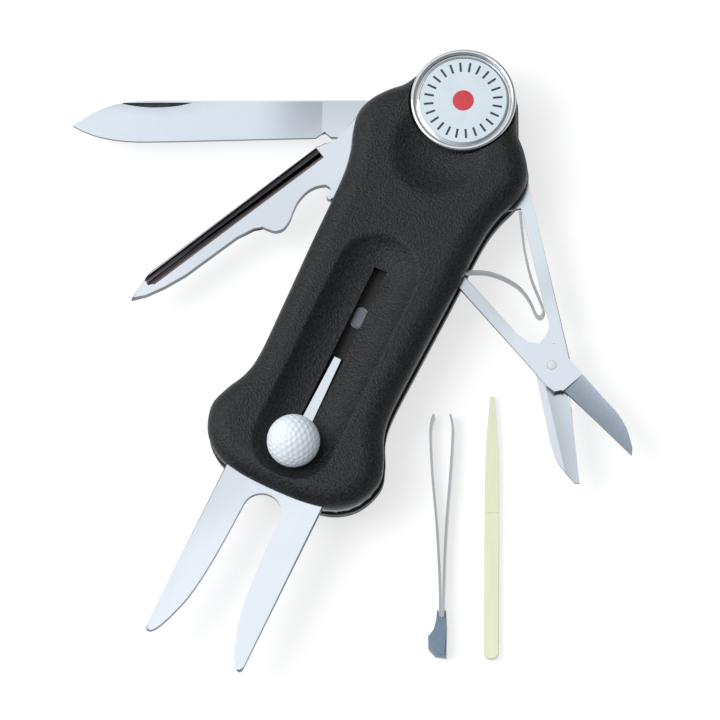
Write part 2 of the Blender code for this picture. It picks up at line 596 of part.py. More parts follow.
def make_scissors():
    """Two levers on one small rivet. The long one carries the pair on the handle's right pivot.

    Both outlines are drawn about the small rivet, with the blade along +X and the handle along -X.
    """
    width, tip = SCISSOR_HANDLE_WIDTH, SCISSOR_BLADE_LENGTH
    reach = SCISSOR_RIVET_DISTANCE
    outer = 3.6 * MM
    long_blade = [(tip, 0.0), (12.0 * MM, 1.3 * MM), (6.4 * MM, 1.9 * MM), (1.5 * MM, outer)]
    long_handle = [(-reach + 7.5 * MM, outer), (-reach + 4.0 * MM, TANG_RADIUS)]
    tang = circle(-reach, 0, TANG_RADIUS, 9, 80, 180)
    shoulder_x = -reach + 10.6 * MM
    inner = outer - width
    shoulder = [(shoulder_x - 0.4 * MM, -2.4 * MM), (shoulder_x, -2.0 * MM), (shoulder_x, inner)]
    neck = smooth(
        [(-11.3 * MM, inner - 0.1 * MM), (-8.5 * MM, inner)]
        + in_mm((-6.6, 0.5), (-4.6, -1.6), (-2.0, -3.1), (1.0, -3.3))
    )
    back = smooth(in_mm((13.5, -3.6), (17.4, -3.3), (20.2, -2.35)) + [(tip - 0.3 * MM, -0.9 * MM)])
    outline = long_blade + long_handle + tang + shoulder + neck + back
    low, high = LONG_LEVER_Z, LONG_LEVER_Z + SCISSOR_LEVER_THICKNESS
    place = (PIVOT_X, PIVOT_Y, 0.0)
    moved = placed(outline, reach, 0.0)
    long_lever = plate("scissor_long_lever", moved, low, high, STEEL, place, SCISSOR_REST_DEG)
    rivet = (SCISSOR_RIVET_X, SCISSOR_RIVET_Y, 0.0)
    small = SCISSOR_RIVET_RADIUS + PIN_CLEARANCE
    cut(long_lever, bore("scissor_pivot_bore", low, high, place))
    cut(long_lever, bore("long_lever_bore", low, high, rivet, small))

    handle_end = -25.5 * MM
    upper = [(handle_end, -0.75 * MM), (-9.0 * MM, -0.95 * MM)]
    shoulder = smooth(in_mm((-6.6, -0.5), (-4.5, 1.35), (-2.9, 3.1), (-1.2, 3.3)))
    short_back = smooth(in_mm((11.5, 3.0), (15.5, 3.0), (18.8, 2.3), (22.2, 0.7)))
    point = [(tip - 0.1 * MM, -0.4 * MM)]
    notch = in_mm((5.3, -1.4), (4.7, -1.9), (4.3, -3.2), (2.6, -3.3), (-6.7, -3.2))
    outline = upper + shoulder + short_back + point + notch + [(handle_end, -0.75 * MM - width)]
    low, high = SHORT_LEVER_Z, SHORT_LEVER_Z + SCISSOR_LEVER_THICKNESS
    short_turn = SCISSOR_REST_DEG + LEVER_SPREAD_DEG
    short_lever = plate("scissor_short_lever", outline[::-1], low, high, STEEL, rivet, short_turn)
    cut(short_lever, bore("short_lever_bore", low, high, rivet, small))

    head, flat = SCISSOR_RIVET_HEAD_RADIUS, SCISSOR_RIVET_HEAD_HEIGHT
    base = LONG_LEVER_Z
    profile = [
        (SCISSOR_RIVET_RADIUS, base),
        (SCISSOR_RIVET_RADIUS, high + 0.02 * MM),
        (head, high + 0.03 * MM),
        (head * 0.8, high + flat),
    ]
    turned("scissor_rivet", profile, SCISSOR_RIVET_X, SCISSOR_RIVET_Y, STEEL, sides=16)


def make_scissor_spring():
    """The folded leaf spring between the levers, and the tab on the tang that holds its root."""
    half = SPRING_THICKNESS / 2
    route = smooth(
        in_mm((-30.9, 0.85), (-26.9, 0.35), (-22.3, -0.05), (-17.4, 0.0), (-13.6, 0.55), (-11.4, 0.85))
        + in_mm((-10.2, 0.6), (-9.8, -0.15), (-10.6, -0.75), (-13.4, -1.3), (-16.3, -2.6), (-18.8, -5.0))
        + in_mm((-20.6, -7.8), (-21.4, -10.4), (-21.7, -12.0)),
        steps=3,
    )
    left, right = [], []
    for i, (x, y) in enumerate(route):
        ax, ay = route[max(i - 1, 0)]
        bx, by = route[min(i + 1, len(route) - 1)]
        length = math.hypot(bx - ax, by - ay)
        nx, ny = -(by - ay) / length * half, (bx - ax) / length * half
        left.append((x + nx, y + ny))
        right.append((x - nx, y - ny))
    strip = placed(left + right[::-1], SCISSOR_RIVET_X, SCISSOR_RIVET_Y, SCISSOR_REST_DEG)
    low = LONG_LEVER_Z + TOOL_GAP
    high = SHORT_LEVER_Z + SCISSOR_LEVER_THICKNESS - TOOL_GAP
    plate("scissor_spring", strip, low, high, SATIN)


def make_fork():
    """The two-pronged fork, its tongue, and the knob that slides it."""
    half, tip, root = FORK_WIDTH / 2, FORK_TIP_Y, FORK_TIP_Y + FORK_ROOT_FROM_TIP
    inner = smooth(
        [
            (half - 0.75 * MM, tip),
            (half - 2.6 * MM, tip + 2.5 * MM),
            (half - 3.5 * MM, tip + 4.8 * MM),
            (half - 4.5 * MM, tip + 8.1 * MM),
            (half - 5.2 * MM, tip + 11.8 * MM),
            (half - 5.75 * MM, tip + 17.0 * MM),
            (FORK_ROOT_RADIUS + 0.2 * MM, tip + 23.4 * MM),
            (FORK_ROOT_RADIUS, root - FORK_ROOT_RADIUS),
        ],
        steps=2,
    )
    gap = circle(0, root - FORK_ROOT_RADIUS, FORK_ROOT_RADIUS, 13, 0, 180)
    mirrored = [(-x, y) for x, y in reversed(inner)]
    inside = BOTTOM_Y + FORK_PLATE_INSIDE
    tongue_half, tongue_end = TONGUE_WIDTH / 2, KNOB_Y + TONGUE_END_FROM_KNOB
    rear = [
        (-half, inside),
        (-tongue_half, inside),
        (-tongue_half, tongue_end),
        (tongue_half, tongue_end),
        (tongue_half, inside),
        (half, inside),
    ]
    corner = 0.35 * MM
    sides = [(-half + corner, tip), (-half, tip + corner * 3)]
    far_side = [(half, tip + corner * 3), (half - corner, tip)]
    outline = inner[:-1] + gap + mirrored[1:] + sides + rear + far_side
    low, high = FORK_Z, FORK_Z + FORK_THICKNESS
    fork = plate("repair_fork", outline[::-1], low, high, STEEL)
    rivet_low = FORK_Z + SEAT_GAP
    hole = circle(0, KNOB_Y, KNOB_RIVET_RADIUS + PIN_CLEARANCE)
    sink = circle(0, KNOB_Y, KNOB_RIVET_HEAD_RADIUS + PIN_CLEARANCE)
    sink_top = rivet_low + KNOB_RIVET_HEAD_HEIGHT + SEAT_GAP
    cut(fork, plate("knob_rivet_hole", hole, low - 1 * MM, high + 1 * MM))
    cut(fork, plate("knob_rivet_sink", sink, low - 1 * MM, sink_top))

    stem_low = high + SEAT_GAP
    ball_rows = 8
    flat = KNOB_Z - KNOB_FLAT_DEPTH
    start = math.asin(-KNOB_FLAT_DEPTH / KNOB_RADIUS)
    profile = [(KNOB_STEM_RADIUS, stem_low), (KNOB_STEM_RADIUS, flat - 0.01 * MM)]
    for i in range(ball_rows):
        angle = start + (math.radians(82) - start) * i / (ball_rows - 1)
        profile.append((KNOB_RADIUS * math.cos(angle), KNOB_Z + KNOB_RADIUS * math.sin(angle)))
    knob = turned("ball_knob", profile, 0.0, KNOB_Y, WHITE)
    pin_top = KNOB_Z
    blind = circle(0, KNOB_Y, KNOB_RIVET_RADIUS + PRESS_GAP)
    cut(knob, plate("knob_blind_bore", blind, low, pin_top + SEAT_GAP))
    profile = [
        (KNOB_RIVET_HEAD_RADIUS, rivet_low),
        (KNOB_RIVET_HEAD_RADIUS, rivet_low + KNOB_RIVET_HEAD_HEIGHT),
        (KNOB_RIVET_RADIUS, rivet_low + KNOB_RIVET_HEAD_HEIGHT + 0.01 * MM),
        (KNOB_RIVET_RADIUS, pin_top),
    ]
    turned("knob_rivet", profile, 0.0, KNOB_Y, STEEL, sides=16)


def make_marker():
    """The ball marker: a rimmed chrome cup with a pale disc in it, held by a magnet in its seat."""
    radius, low = MARKER_DIAMETER / 2, MARKER_SEAT_Z + SEAT_GAP
    profile = [
        (radius - 0.5 * MM, low),
        (radius, low + 0.5 * MM),
        (radius, low + MARKER_HEIGHT - 0.5 * MM),
        (radius - 0.3 * MM, low + MARKER_HEIGHT),
    ]
    cup = turned("marker_cup", profile, 0.0, MARKER_Y, CHROME, sides=40)
    well = [
        (radius - MARKER_RIM_WIDTH, low + MARKER_BASE),
        (radius - MARKER_RIM_WIDTH, low + MARKER_HEIGHT - 0.4 * MM),
        (radius - MARKER_RIM_WIDTH + 0.5 * MM, low + MARKER_HEIGHT + 0.1 * MM),
    ]
    cut(cup, turned("marker_well", well, 0.0, MARKER_Y, sides=40))
    disc = [
        (radius - MARKER_RIM_WIDTH - SEAT_GAP, low + MARKER_BASE + SEAT_GAP),
        (radius - MARKER_RIM_WIDTH - SEAT_GAP, low + MARKER_HEIGHT - 0.55 * MM),
    ]
    turned("marker_disc", disc, 0.0, MARKER_Y, DISC, sides=40)
    top = MARKER_SEAT_Z - SEAT_GAP / 2
    magnet = [(MAGNET_RADIUS, MARKER_SEAT_Z - MAGNET_THICKNESS), (MAGNET_RADIUS, top)]
    turned("marker_magnet", magnet, 0.0, MARKER_Y, MAGNET)


def make_toothpick():
    """The flat plastic toothpick, beside the handle."""
    half, length = TOOTHPICK_WIDTH / 2, TOOTHPICK_LENGTH
    point = smooth(
        [
            (length - 18.0 * MM, half - 0.1 * MM),
            (length - 10.0 * MM, half - 0.3 * MM),
            (length - 4.0 * MM, half * 0.52),
            (length, half * 0.28),
        ]
    )
    foot = smooth(
        [
            (1.2 * MM, -half),
            (0.3 * MM, -half + 0.5 * MM),
            (0.0, 0.0),
            (0.3 * MM, half - 0.4 * MM),
            (1.0 * MM, half),
        ]
    )
    outline = point + [(x, -y) for x, y in reversed(point)] + foot
    where = {"place": TOOTHPICK_PLACE, "turn_deg": TOOTHPICK_TURN_DEG}
    plate("toothpick", outline[::-1], 0.0, TOOTHPICK_THICKNESS, IVORY, **where)


def leaf(name, line):
    """One springy steel leaf, as a strip of even thickness about a line that runs to its tip."""
    half = LEAF_THICKNESS / 2
    route = smooth(line, steps=3)
    sides = ([], [])
    for i, (x, y) in enumerate(route):
        ax, ay = route[max(i - 1, 0)]
        bx, by = route[min(i + 1, len(route) - 1)]
        length = math.hypot(bx - ax, by - ay)
        nx, ny = -(by - ay) / length * half, (bx - ax) / length * half
        sides[0].append((x + nx, y + ny))
        sides[1].append((x - nx, y - ny))
    outline = sides[1] + sides[0][::-1]
    plate(name, outline, 0.0, TWEEZERS_WIDTH, STEEL, TWEEZERS_PLACE, TWEEZERS_TURN_DEG)


def make_tweezers():
    """Tweezers lying on one edge beside the handle: two steel leaves in a moulded grip."""
    length = TWEEZERS_LENGTH
    root = 7.5 * MM
    tip = length - 2.9 * MM
    leaf(
        "tweezer_leaf_left",
        [(root, 0.3 * MM), (14.0 * MM, 0.38 * MM), (25.0 * MM, 1.0 * MM)]
        + [(tip - 8.0 * MM, 2.0 * MM), (tip, 2.35 * MM), (length, 1.75 * MM)],
    )
    leaf(
        "tweezer_leaf_right",
        [(root, -0.3 * MM), (14.0 * MM, -0.38 * MM), (25.0 * MM, -0.75 * MM)]
        + [(tip - 8.0 * MM, -1.5 * MM), (tip, -1.85 * MM), (length, -1.35 * MM)],
    )
    grip = in_mm((0.0, -0.9), (6.0, -0.95), (13.5, -0.9), (13.5, 0.9), (7.0, 0.95), (5.0, 1.1), (3.8, 2.5))
    grip += in_mm((1.6, 2.45), (0.3, 1.2))
    where = {"place": TWEEZERS_PLACE, "turn_deg": TWEEZERS_TURN_DEG}
    body = plate("tweezer_grip", grip, 0.0, TWEEZERS_WIDTH, GREY, **where)
    socket = box_outline(root - 0.1 * MM, -0.62 * MM, 15.0 * MM, 0.62 * MM)
    cut(body, plate("leaf_socket", socket, -1 * MM, TWEEZERS_WIDTH + 1 * MM, **where))


make_shells()
make_liners()
make_stud()
make_blade_backspring()
make_tool_layer()
make_rivets()
make_blade()
make_cleaner()
make_scissors()
make_scissor_spring()
make_fork()
make_marker()
make_toothpick()
make_tweezers()
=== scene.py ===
# %% [markdown]
# # A golfer's divot tool with folding blades
#
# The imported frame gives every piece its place. This notebook dresses that frame: moulded nylon
# halves, ground steel tools, a dimpled ball knob and a rimmed ball marker. All lengths are in
# metres, and numbers written in millimetres are multiplied by MM.

# %% Load the frame
import json
import math

import bmesh
import bpy
from mathutils import Matrix, Vector, kdtree


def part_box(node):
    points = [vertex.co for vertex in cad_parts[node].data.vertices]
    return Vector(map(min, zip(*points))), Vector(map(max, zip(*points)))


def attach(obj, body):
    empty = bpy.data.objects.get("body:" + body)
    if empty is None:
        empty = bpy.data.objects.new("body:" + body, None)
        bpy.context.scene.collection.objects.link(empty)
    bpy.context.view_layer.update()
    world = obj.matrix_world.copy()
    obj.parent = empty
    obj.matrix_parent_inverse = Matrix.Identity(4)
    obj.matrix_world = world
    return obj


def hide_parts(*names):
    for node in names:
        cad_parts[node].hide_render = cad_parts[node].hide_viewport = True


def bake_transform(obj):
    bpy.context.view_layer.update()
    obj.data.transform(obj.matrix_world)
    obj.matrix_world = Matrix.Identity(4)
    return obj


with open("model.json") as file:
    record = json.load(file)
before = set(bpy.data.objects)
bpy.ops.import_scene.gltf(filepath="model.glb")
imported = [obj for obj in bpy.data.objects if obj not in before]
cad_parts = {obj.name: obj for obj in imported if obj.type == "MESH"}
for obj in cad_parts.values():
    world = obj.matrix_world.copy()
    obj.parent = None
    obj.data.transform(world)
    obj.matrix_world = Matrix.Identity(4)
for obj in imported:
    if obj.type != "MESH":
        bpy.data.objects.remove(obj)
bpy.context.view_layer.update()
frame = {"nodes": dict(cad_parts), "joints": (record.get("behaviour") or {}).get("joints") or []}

MM = 0.001
joint = {entry["name"]: entry for entry in frame["joints"]}
print("nodes in the frame:", len(frame["nodes"]))

# %% [markdown]
# ## Outlines
#
# The real tool is drawn with a few sweeping curves. A Catmull-Rom curve passes through every
# point it is given, so a short list of points makes a long smooth outline.


# %% Curves through points
def smooth(points, steps=10, closed=False):
    """A Catmull-Rom curve through the points."""
    count = len(points)
    found = []
    for i in range(count if closed else count - 1):
        if closed:
            near = [points[(i + k - 1) % count] for k in range(4)]
        else:
            near = [points[min(max(i + k - 1, 0), count - 1)] for k in range(4)]
        for step in range(steps):
            t = step / steps
            weights = (
                (-t + 2 * t**2 - t**3) / 2,
                (2 - 5 * t**2 + 3 * t**3) / 2,
                (t + 4 * t**2 - 3 * t**3) / 2,
                (-(t**2) + t**3) / 2,
            )
            found.append(tuple(sum(w * p[axis] for w, p in zip(weights, near)) for axis in (0, 1)))
    if not closed:
        found.append(tuple(points[-1]))
    return found


def arc(x, y, radius, sides, start, turn):
    """Points of an arc. Both of its ends are kept."""
    angles = [math.radians(start + turn * i / (sides - 1)) for i in range(sides)]
    return [(x + radius * math.cos(a), y + radius * math.sin(a)) for a in angles]


def stadium(x, low, high, radius, sides=24):
    """Two half rounds joined by straight sides."""
    return arc(x, high, radius, sides, 0, 180) + arc(x, low, radius, sides, 180, 180)


def rectangle(x0, y0, x1, y1):
    return [(x0, y0), (x1, y0), (x1, y1), (x0, y1)]


def resample(points, count):
    """The same line with count even steps."""
    lengths = [0.0]
    for a, b in zip(points, points[1:]):
        lengths.append(lengths[-1] + math.dist(a, b))
    found, at = [], 0
    for i in range(count + 1):
        want = lengths[-1] * i / count
        while at < len(points) - 2 and lengths[at + 1] < want:
            at += 1
        share = (want - lengths[at]) / max(lengths[at + 1] - lengths[at], 1e-12)
        a, b = points[at], points[at + 1]
        found.append((a[0] + (b[0] - a[0]) * share, a[1] + (b[1] - a[1]) * share))
    return found


# %% [markdown]
# ## Finishes
#
# Each finish is a Principled shader with a fine pattern behind it. The patterns read Object
# coordinates, so they stay fixed to a piece when it moves. The grain is a bump of a few
# hundredths of a millimetre, which is about what a spark-eroded mould leaves on nylon.


# %% A finish with grain
GRAIN_DETAIL, GRAIN_LOW, GRAIN_HIGH = 3.0, 0.3, 0.7
# Size and spread of the broad patches: partly uneven polish, partly painted sheen.
PATCHES_PER_METRE, PATCH_LOW, PATCH_HIGH = 45.0, 0.35, 0.65


def make_finish(
    name, tint, shade, roughness, grain, metallic=0.0, stretch=(1, 1, 1), turn=0.0, painted_sheen=0.0
):
    """A Principled material with a fine pattern behind its colour, roughness and bump.

    roughness is (smoothest, roughest), and grain is (spots per metre, bump depth in metres,
    strength). The last argument is how much darker the broad soft patches are, as a share; the
    patches are partly uneven polish and partly painted sheen, the slow changes of reflection across
    polished steel laid into its colour.
    """
    made = bpy.data.materials.new(name)
    made.use_nodes = True
    nodes, links = made.node_tree.nodes, made.node_tree.links
    shader = nodes["Principled BSDF"]
    shader.inputs["Metallic"].default_value = metallic
    place = nodes.new("ShaderNodeTexCoord")
    mapping = nodes.new("ShaderNodeMapping")
    mapping.vector_type = "TEXTURE"
    mapping.inputs["Rotation"].default_value = (0.0, 0.0, math.radians(turn))
    mapping.inputs["Scale"].default_value = stretch
    links.new(place.outputs["Object"], mapping.inputs["Vector"])
    noise = nodes.new("ShaderNodeTexNoise")
    noise.inputs["Scale"].default_value = grain[0]
    noise.inputs["Detail"].default_value = GRAIN_DETAIL
    links.new(mapping.outputs["Vector"], noise.inputs["Vector"])
    colour = nodes.new("ShaderNodeValToRGB")
    colour.color_ramp.elements[0].position = GRAIN_LOW
    colour.color_ramp.elements[0].color = (*shade, 1.0)
    colour.color_ramp.elements[1].position = GRAIN_HIGH
    colour.color_ramp.elements[1].color = (*tint, 1.0)
    links.new(noise.outputs["Fac"], colour.inputs["Fac"])
    # Broad soft patches darken the colour: partly uneven polish, partly painted sheen standing in
    # for slow changes of reflection on steel.
    patches = nodes.new("ShaderNodeTexNoise")
    patches.inputs["Scale"].default_value = PATCHES_PER_METRE
    patches.inputs["Detail"].default_value = 0.0
    links.new(place.outputs["Object"], patches.inputs["Vector"])
    dim = nodes.new("ShaderNodeMapRange")
    dim.interpolation_type = "SMOOTHSTEP"
    dim.inputs["From Min"].default_value = PATCH_LOW
    dim.inputs["From Max"].default_value = PATCH_HIGH
    dim.inputs["To Min"].default_value = 1.0 - painted_sheen
    links.new(patches.outputs["Fac"], dim.inputs["Value"])
    scaled = nodes.new("ShaderNodeVectorMath")
    scaled.operation = "SCALE"
    links.new(colour.outputs["Color"], scaled.inputs[0])
    links.new(dim.outputs["Result"], scaled.inputs["Scale"])
    links.new(scaled.outputs["Vector"], shader.inputs["Base Color"])
    spread = nodes.new("ShaderNodeMapRange")
    spread.inputs["From Min"].default_value = GRAIN_LOW
    spread.inputs["From Max"].default_value = GRAIN_HIGH
    spread.inputs["To Min"].default_value = roughness[0]
    spread.inputs["To Max"].default_value = roughness[1]
    links.new(noise.outputs["Fac"], spread.inputs["Value"])
    links.new(spread.outputs["Result"], shader.inputs["Roughness"])
    bump = nodes.new("ShaderNodeBump")
    bump.inputs["Distance"].default_value = grain[1]
    bump.inputs["Strength"].default_value = grain[2]
    links.new(noise.outputs["Fac"], bump.inputs["Height"])
    links.new(bump.outputs["Normal"], shader.inputs["Normal"])
    return made


# %% Nylon and steel
# How far each tool is turned from +X, in degrees.
BLADE_TURN, CLEANER_TURN, SCISSOR_TURN, SHORT_TURN = 204.8, 243.15, 308.35, 336.75
PICK_TURN, TWEEZERS_TURN = 115.3, 115.2
ALONG = (30.0, 1.0, 1.0)
POLISH_GRAIN = (5200, 1e-6, 0.05)
NYLON_GLOSS = 0.24

nylon = make_finish(
    "black_nylon", (0.02, 0.0215, 0.024), (0.0012, 0.0013, 0.0016), (0.3, 0.42), (2600, 2.2e-4, 1.0)
)
nylon.node_tree.nodes["Principled BSDF"].inputs["Specular IOR Level"].default_value = NYLON_GLOSS
# A darker, rougher nylon for the faces inside slots, channels, pockets and rivet-head seats:
# painted shade in the recesses.
nylon_painted_shade = make_finish(
    "nylon_painted_shade", (0.006, 0.006, 0.006), (0.004, 0.003, 0.003), (0.6, 0.8), (2500, 3e-5, 0.3)
)
STEEL_TINT, STEEL_SHADE = (0.6, 0.64, 0.69), (0.585, 0.625, 0.675)


def polished(name, turn, tint=STEEL_TINT, shade=STEEL_SHADE, roughness=(0.19, 0.22), painted_sheen=0.22):
    """Steel polished along a line that is turned by so many degrees."""
    return make_finish(name, tint, shade, roughness, POLISH_GRAIN, 1.0, ALONG, turn, painted_sheen)


blade_steel = polished("blade_steel", BLADE_TURN)
cleaner_steel = polished("cleaner_steel", CLEANER_TURN, painted_sheen=0.08)
lever_steel = polished("lever_steel", SCISSOR_TURN)
fork_steel = polished("fork_steel", 90.0, (0.64, 0.68, 0.73), (0.625, 0.665, 0.715), painted_sheen=0.14)
leaf_steel = polished("leaf_steel", TWEEZERS_TURN, (0.36, 0.38, 0.4), (0.33, 0.35, 0.37))
# The spacer band's steel is tinted far darker than the liners: painted shade that dims the lamp's
# reflection along its side.
band_steel_painted_shade = polished("band_steel_painted_shade", 90.0, (0.2, 0.23, 0.27), (0.17, 0.2, 0.24), (0.14, 0.2))
liner_steel = polished("liner_steel", 90.0, (0.5, 0.55, 0.6), (0.42, 0.46, 0.52))
# The stud's steel is tinted dark: painted shade, as it sits down in the slot.
stud_steel_painted_shade = polished("stud_steel_painted_shade", 0.0, (0.15, 0.15, 0.175), (0.11, 0.11, 0.13), (0.3, 0.4))
# The blade's ground facets carry a heavier painted sheen.
ground = polished(
    "ground_steel", BLADE_TURN + 90, (0.55, 0.6, 0.65), (0.535, 0.585, 0.64), (0.2, 0.23), 0.42
)
# The short lever's ground facet is a much darker copy of the lever steel: painted shade on the
# facet.
painted_lever_facet_shade = polished(
    "lever_facet_painted_shade_steel", SHORT_TURN + 90, (0.2, 0.23, 0.27), (0.19, 0.22, 0.26), (0.2, 0.23), 0.4
)
# A dark steel for the sides of plates, for bores and for rivet holes: painted shade, standing in
# for the dark reflections that upright and bevelled steel faces show.
painted_edge_shade = make_finish(
    "edge_painted_shade_steel", (0.15, 0.165, 0.19), (0.11, 0.12, 0.14), (0.32, 0.42), (2500, 4e-6, 0.2), 1.0
)
# Near-black and brown-tinted steel for the cleaner's grooves and step and for the blade's nail
# nick: painted shade in the recesses.
painted_groove_shade = polished(
    "groove_painted_shade_steel", CLEANER_TURN, (0.06, 0.062, 0.072), (0.022, 0.024, 0.03), (0.2, 0.32)
)
painted_step_shadow = polished(
    "groove_shadow", CLEANER_TURN, (0.16, 0.115, 0.105), (0.09, 0.06, 0.058), (0.3, 0.4)
)
spring_steel = polished("spring_steel", 0.0, (0.36, 0.38, 0.39), (0.3, 0.32, 0.33), (0.25, 0.35))

# %% Chrome, brass, plastics and inks
chrome = make_finish(
    "chrome", (0.62, 0.64, 0.66), (0.58, 0.6, 0.62), (0.07, 0.1), (400, 1e-6, 0.05), 1.0
)
brass = make_finish(
    "brass", (0.72, 0.55, 0.28), (0.62, 0.45, 0.2), (0.25, 0.4), (900, 6e-6, 0.3), 1.0
)
magnet_nickel = make_finish(
    "magnet_nickel", (0.6, 0.6, 0.58), (0.5, 0.5, 0.48), (0.2, 0.35), (900, 5e-6, 0.3), 1.0
)
ball_white = make_finish(
    "white_plastic", (0.72, 0.78, 0.84), (0.68, 0.74, 0.81), (0.3, 0.42), (500, 4e-6, 0.2)
)
enamel = make_finish(
    "marker_enamel", (0.62, 0.7, 0.75), (0.59, 0.67, 0.72), (0.25, 0.35), (300, 2e-6, 0.15)
)
ink = make_finish(
    "dark_ink", (0.02, 0.025, 0.04), (0.012, 0.014, 0.022), (0.35, 0.5), (2000, 1e-6, 0.2)
)
red = make_finish(
    "red_ink", (0.62, 0.03, 0.05), (0.52, 0.02, 0.035), (0.3, 0.45), (2000, 1e-6, 0.2)
)
ivory = make_finish(
    "ivory_plastic",
    (0.76, 0.78, 0.56),
    (0.72, 0.74, 0.51),
    (0.35, 0.5),
    (700, 1.2e-5, 0.35),
    stretch=(6, 1, 1),
    turn=PICK_TURN,
)
blue_grey = make_finish(
    "blue_grey_plastic", (0.15, 0.22, 0.3), (0.12, 0.18, 0.26), (0.35, 0.5), (1800, 1.5e-5, 0.35)
)
print("finishes:", len(bpy.data.materials))

# %% [markdown]
# ## Solids
#
# A flat tool is a plate with a small bevel round both of its faces. Grooves, bores and ground
# facets are cut with Booleans, and each cutter passes its own finish on to the face it leaves.


# %% Turning mesh code into pieces
CUT_ANGLE, GROWN_ANGLE, TURNED_ANGLE = 30.0, 40.0, 35.0
SAME_LEVEL = 1e-7
FACING_UP = 0.93


def solid(name, mesh, finishes=()):
    """An object from a bmesh, with its faces outwards."""
    bmesh.ops.recalc_face_normals(mesh, faces=mesh.faces)
    data = bpy.data.meshes.new(name)
    mesh.to_mesh(data)
    mesh.free()
    for finish in finishes:
        data.materials.append(finish)
    made = bpy.data.objects.new(name, data)
    bpy.context.scene.collection.objects.link(made)
    return made


def loft(rings):
    """A closed solid through rings of one point count, each a list of (x, y, z)."""
    mesh = bmesh.new()
    made = [[mesh.verts.new(point) for point in ring] for ring in rings]
    mesh.faces.new(reversed(made[0]))
    mesh.faces.new(made[-1])
    for low, high in zip(made, made[1:]):
        for i in range(len(low)):
            j = (i + 1) % len(low)
            mesh.faces.new((low[i], low[j], high[j], high[i]))
    return mesh


def level(outline, z):
    return [(x, y, z) for x, y in outline]


def prism(name, outline, low, high, finish):
    """A straight cutter."""
    return solid(name, loft([level(outline, low), level(outline, high)]), (finish,))


def placed(outline, place, turn):
    """An outline in millimetres, turned about its own origin and moved to a place in metres."""
    c, s = math.cos(math.radians(turn)), math.sin(math.radians(turn))
    return [(place[0] + (c * x - s * y) * MM, place[1] + (s * x + c * y) * MM) for x, y in outline]


def settle(piece, angle=None):
    """Apply the piece's modifiers. With an angle, bends flatter than it are shaded smooth."""
    graph = bpy.context.evaluated_depsgraph_get()
    data = bpy.data.meshes.new_from_object(piece.evaluated_get(graph))
    piece.modifiers.clear()
    piece.data = data
    if angle:
        data.shade_smooth()
        data.set_sharp_from_angle(angle=math.radians(angle))
    return piece


def carve(piece, *cutters):
    """Cut the cutters out of the piece, and remove them."""
    for cutter in cutters:
        cutter.hide_render = True
        modifier = piece.modifiers.new(cutter.name, "BOOLEAN")
        modifier.operation = "DIFFERENCE"
        modifier.solver = "EXACT"
        modifier.material_mode = "TRANSFER"
        modifier.object = cutter
    settle(piece, CUT_ANGLE)
    for cutter in cutters:
        bpy.data.objects.remove(cutter)
    weigh = piece.modifiers.new("even_normals", "WEIGHTED_NORMAL")
    weigh.keep_sharp = True
    return settle(piece)


def plate(name, outline, low, high, bevel, face, edge=painted_edge_shade):
    """A plate with bevelled faces. Its sides take a darker steel, a painted shade that stands in
    for the dark reflections along upright steel faces.
    """
    mesh = loft([level(outline, low), level(outline, high)])
    rims = [e for e in mesh.edges if abs(e.verts[0].co.z - e.verts[1].co.z) < SAME_LEVEL]
    bmesh.ops.bevel(
        mesh, geom=rims, offset=bevel, segments=2, profile=0.5, affect="EDGES", clamp_overlap=True
    )
    mesh.normal_update()
    for f in mesh.faces:
        f.material_index = 0 if abs(f.normal.z) > FACING_UP else 1
    return solid(name, mesh, (face, edge))


def hand_over(piece, body, node):
    """Tell the frame what the finished piece stands for."""
    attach(piece, body)
    if node:
        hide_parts(node)
    print(piece.name, "faces:", len(piece.data.polygons))


# %% [markdown]
# ## The nylon halves
#
# Each half is one smooth skin. The skin is a net of points that runs inwards from the outline to
# the handle's middle line, and a height rule gives every point its level: a quarter of an
# ellipse near the edge, a long trough for the ball, and a round dish for the thumb.

# %% The handle's outline
OUTLINE_STEPS = 12
WAIST_DEPTH = 3.9 * MM
shell_low, shell_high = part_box("front_shell")
BOTTOM_Y, TOP_Y, HALF_WIDTH = shell_low.y, shell_high.y, shell_high.x
FRONT_Z, CROWN_Z = shell_low.z, shell_high.z
HEAD_RADIUS = 10.4 * MM
HEAD_Y = TOP_Y - HEAD_RADIUS
marker_low, marker_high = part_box("marker_cup")
MARKER_Y = (marker_low.y + marker_high.y) / 2
knob_low, knob_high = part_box("ball_knob")
KNOB_Y = (knob_low.y + knob_high.y) / 2
AROUND, ACROSS = ((300, 84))


def handle_half(count):
    """The right-hand half of the outline, from the middle of the lower end to the top."""
    full, waist = HALF_WIDTH, HALF_WIDTH - WAIST_DEPTH
    lower = ((0.0, 0.0), (10.6, 0.35), (5.4, 1.7), (1.7, 4.9), (0.0, 9.8), (1.1, 14.0), (3.1, 18.2))
    upper = ((2.2, 27.5), (0.8, 23.2), (0.2, 19.5), (1.2, 16.2), (3.3, 13.3), (5.7, 10.9))
    side = [(0.0, BOTTOM_Y)] + [(full - x * MM, BOTTOM_Y + y * MM) for x, y in lower[1:]]
    side += [(waist, BOTTOM_Y + 23.0 * MM), (waist + 0.2 * MM, -13.0 * MM), (waist + 0.6 * MM, 0.0)]
    side += [(waist + 0.9 * MM, TOP_Y - 33.0 * MM)]
    side += [(full - x * MM, TOP_Y - y * MM) for x, y in upper]
    side += [(HEAD_RADIUS + 0.2 * MM, HEAD_Y + 1.9 * MM)] + arc(0.0, HEAD_Y, HEAD_RADIUS, 5, 20, 70)
    left = [(-x, y) for x, y in reversed(side[1:-1])]
    whole = smooth(side + left, OUTLINE_STEPS, closed=True)
    return resample(whole[: (len(side) - 1) * OUTLINE_STEPS + 1], count)


